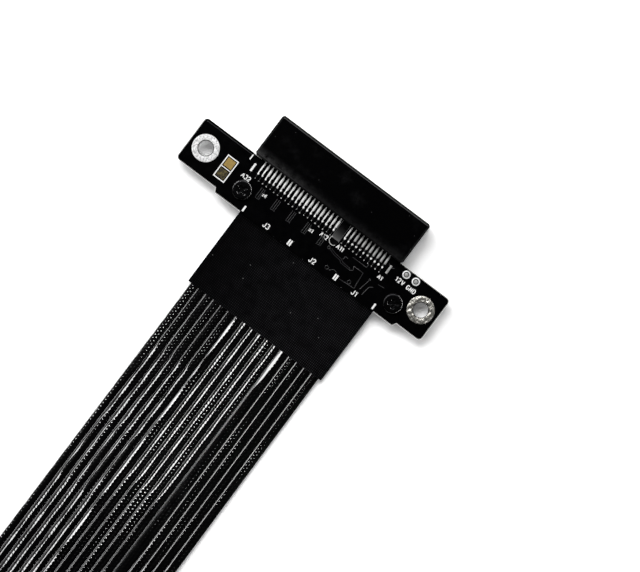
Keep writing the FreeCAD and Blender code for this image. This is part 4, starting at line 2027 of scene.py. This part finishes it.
@dataclass
class Cable:
    """The three ribbons and the two sleeves, with the real cable length and tape cut kept as fields."""

    length: float = 0.1565
    tape_cut: Span = (0.0735, 0.0185)

    def build(self) -> None:
        route = CableRoute()
        frayed = EdgeRoll(slope=0.45, width=0.12, wander=0.14, wavelength=5.0, start=24.0, end=140.0)
        wavy = EdgeRoll(slope=0.35, width=0.3, wander=0.3, wavelength=17.0, start=12.0, end=140.0)
        pressed = EdgeRoll(slope=0.41, width=0.5, wander=0.08, wavelength=14.0, start=18.0, end=34.0)
        hatched = EdgeRoll(slope=0.38, width=0.2, wander=0.15, wavelength=13.0, start=58.0, end=140.0)
        ridged = EdgeRoll(slope=0.38, width=0.15, wander=0.14, wavelength=7.0, start=70.0, end=140.0)
        beaded = EdgeRoll.shoulder((0.57, 0.07), (0.34, 0.05), 10.0, 14.0, 65.0)
        raised = EdgeRoll.shoulder((0.52, 0.12), (0.33, 0.06), 9.0, 38.0, 58.0)
        lower = EdgeRoll.shoulder((0.56, 0.12), (0.33, 0.06), 9.0, 72.0, 104.0)
        ribbons = [
            Ribbon(
                "j3", strips=6, seed=31, film=FILM_J3, edge=(frayed,), press=(hatched, *raised, *lower),
                left_squareness=9.5, right_squareness=12.0,
            ),
            Ribbon(
                "j2", strips=6, seed=32, film=FILM_J2, edge=(wavy,), press=beaded,
                left_squareness=10.0, right_squareness=4.8, far_squareness=4.8,
            ),
            Ribbon(
                "j1", strips=5, seed=33, film=FILM_J1, edge=(pressed,), press=(ridged,),
                left_squareness=7.5, right_squareness=12.0, slackening=72.0, drift=0.55,
            ),
        ]
        films = {ribbon.name: ribbon.build(route) for ribbon in ribbons}
        sleeves = [TapeSleeve("slot_sleeve", 41).build(route), TapeSleeve("plug_sleeve", 42).build(route)]
        for name, film in films.items():
            box = NodeBox.of("ribbon_" + name)
            board_rear = NodeBox.of("slot_board").low[1]
            path = route.line(box.centre[0]) * MM


@dataclass
class PlugEnd:
    """Edge plug on the far end: board, gold fingers, cover bar and bare wire ends."""

    def build(self) -> None:
        """Dresses the plug's CAD nodes."""
        dress("plug_board", MASK)
        dress("plug_fingers_a", FINGER_GOLD)
        dress("plug_fingers_b", FINGER_GOLD)
        dress("plug_cover", CLAMP)
        for end in ("slot", "plug"):
            for name in ("j1", "j2", "j3"):
                dress(f"{end}_tails_{name}", BARE_COPPER)


@dataclass(frozen=True)
class Softbox:
    """Rectangular lamp that faces the object, with the share of white that it gives a level face."""

    name: str
    azimuth: float
    zenith: float
    width: float
    height: float
    share: float
    distance: float = 1.3

    def build(self, target: np.ndarray) -> None:
        """Hangs the lamp so that a white level face under it shows its share of white.

        Radiance = share * pi / (solid angle * cosine), and power = radiance * pi * area.

        Args:
            target: Point that it faces, in metres.
        """
        azimuth, zenith = math.radians(self.azimuth), math.radians(self.zenith)
        flat = math.sin(zenith)
        away = np.array([flat * math.cos(azimuth), flat * math.sin(azimuth), math.cos(zenith)])
        area = self.width * self.height
        radiance = self.share * math.pi / (area / self.distance ** 2 * math.cos(zenith))
        light = bpy.data.lights.new(self.name, "AREA")
        light.shape = "RECTANGLE"
        light.size = self.width
        light.size_y = self.height
        light.energy = radiance * math.pi * area
        lamp = placed(bpy.data.objects.new(self.name, light))
        lamp.location = target + away * self.distance
        lamp.rotation_euler = (zenith, 0.0, azimuth + math.pi / 2)


@dataclass
class Studio:
    """White floor, soft lamps, pale surroundings and the camera that looks straight down."""

    centre: Span = (8.43, -13.42)
    view_width: float = 136.0
    turn: float = 37.0
    lens: float = 200.0
    sensor: float = 36.0
    floor_size: float = 6.0
    floor_drop: float = 0.00004
    paper: Span = (0.85, 1.45)
    glow: float = 0.1

    def build(self) -> None:
        """Builds the stage around the object."""
        self.floor()
        self.world()
        self.camera()
        target = np.array([self.centre[0] * MM, self.centre[1] * MM, 0.0])
        for softbox in (
            Softbox("key", azimuth=135.0, zenith=25.0, width=0.75, height=0.5, share=0.55),
            Softbox("left_box", azimuth=178.0, zenith=44.0, width=1.1, height=0.5, share=0.28),
            Softbox("right_rim", azimuth=62.0, zenith=56.0, width=1.3, height=0.25, share=0.08),
            Softbox("right_strip", azimuth=-4.0, zenith=46.0, width=1.1, height=0.18, share=0.09),
        ):
            softbox.build(target)
        view = bpy.context.scene.view_settings
        view.view_transform = "Standard"

    def floor(self) -> None:
        """Level floor that takes shadows and shows white to the camera and in reflections."""
        half = self.floor_size / 2
        side = np.array([-half, half])
        x, y = np.meshgrid(side, side)
        points = np.stack([x, y, np.full_like(x, -self.floor_drop)], -1).reshape(-1, 3)
        mesh = bpy.data.meshes.new("floor")
        mesh.from_pydata(points.tolist(), [], [(0, 1, 3, 2)])
        graph = Graph("floor white")
        rays = graph.node("LightPath").outputs
        seen = graph.calc("MAXIMUM", rays["Is Camera Ray"], rays["Is Glossy Ray"])
        seen = graph.calc("MAXIMUM", seen, rays["Is Transmission Ray"])
        paper = graph.node("BsdfDiffuse", {"Color": graph.band(seen, 0.0, 1.0, *self.paper)})
        glow = graph.node("Emission", {"Strength": graph.times(seen, self.glow)})
        both = graph.node("AddShader", {0: paper.outputs[0], 1: glow.outputs[0]})
        graph.node("OutputMaterial", {"Surface": both.outputs[0]})
        mesh.materials.append(graph.material)
        floor = placed(bpy.data.objects.new("floor", mesh))

    def world(self) -> None:
        """Surroundings that are pale at the horizon and dim overhead."""
        world = bpy.data.worlds.new("studio")
        bpy.context.scene.world = world
        world.use_nodes = True
        tree = world.node_tree
        tree.nodes.clear()
        place = tree.nodes.new("ShaderNodeTexCoord")
        split = tree.nodes.new("ShaderNodeSeparateXYZ")
        ramp = tree.nodes.new("ShaderNodeMapRange")
        back = tree.nodes.new("ShaderNodeBackground")
        out = tree.nodes.new("ShaderNodeOutputWorld")
        ramp.interpolation_type = "SMOOTHSTEP"
        horizon, overhead, pale, dim = 0.05, 0.75, 0.12, 0.001
        for number, value in enumerate((horizon, overhead, pale, dim), start=1):
            ramp.inputs[number].default_value = value
        tree.links.new(place.outputs["Generated"], split.inputs[0])
        tree.links.new(split.outputs[2], ramp.inputs[0])
        tree.links.new(ramp.outputs[0], back.inputs["Strength"])
        tree.links.new(back.outputs[0], out.inputs["Surface"])

    def camera(self) -> None:
        """Long-lens camera over the slot end, turned as the photograph is."""
        data = bpy.data.cameras.new("camera")
        data.lens = self.lens
        data.sensor_width = self.sensor
        distance = self.view_width * self.lens / self.sensor
        level = NodeBox.of("slot_board").high[2]
        camera = placed(bpy.data.objects.new("camera", data))
        camera.location = np.array([*self.centre, level + distance]) * MM
        camera.rotation_euler = (0.0, 0.0, math.radians(self.turn))
        data.clip_start = 0.01
        data.clip_end = 20.0
        bpy.context.scene.camera = camera


def main() -> None:
    """Builds the studio and every sub-assembly in order."""
    logging.basicConfig(level=logging.INFO, format="%(name)s %(message)s")
    for assembly in (Studio(), Cable(), SlotBoard(), SlotConnector(), ClampScrews(), PlugEnd()):
        LOG.info("building %s", type(assembly).__name__)
        assembly.build()


if __name__ == "__main__":
    main()
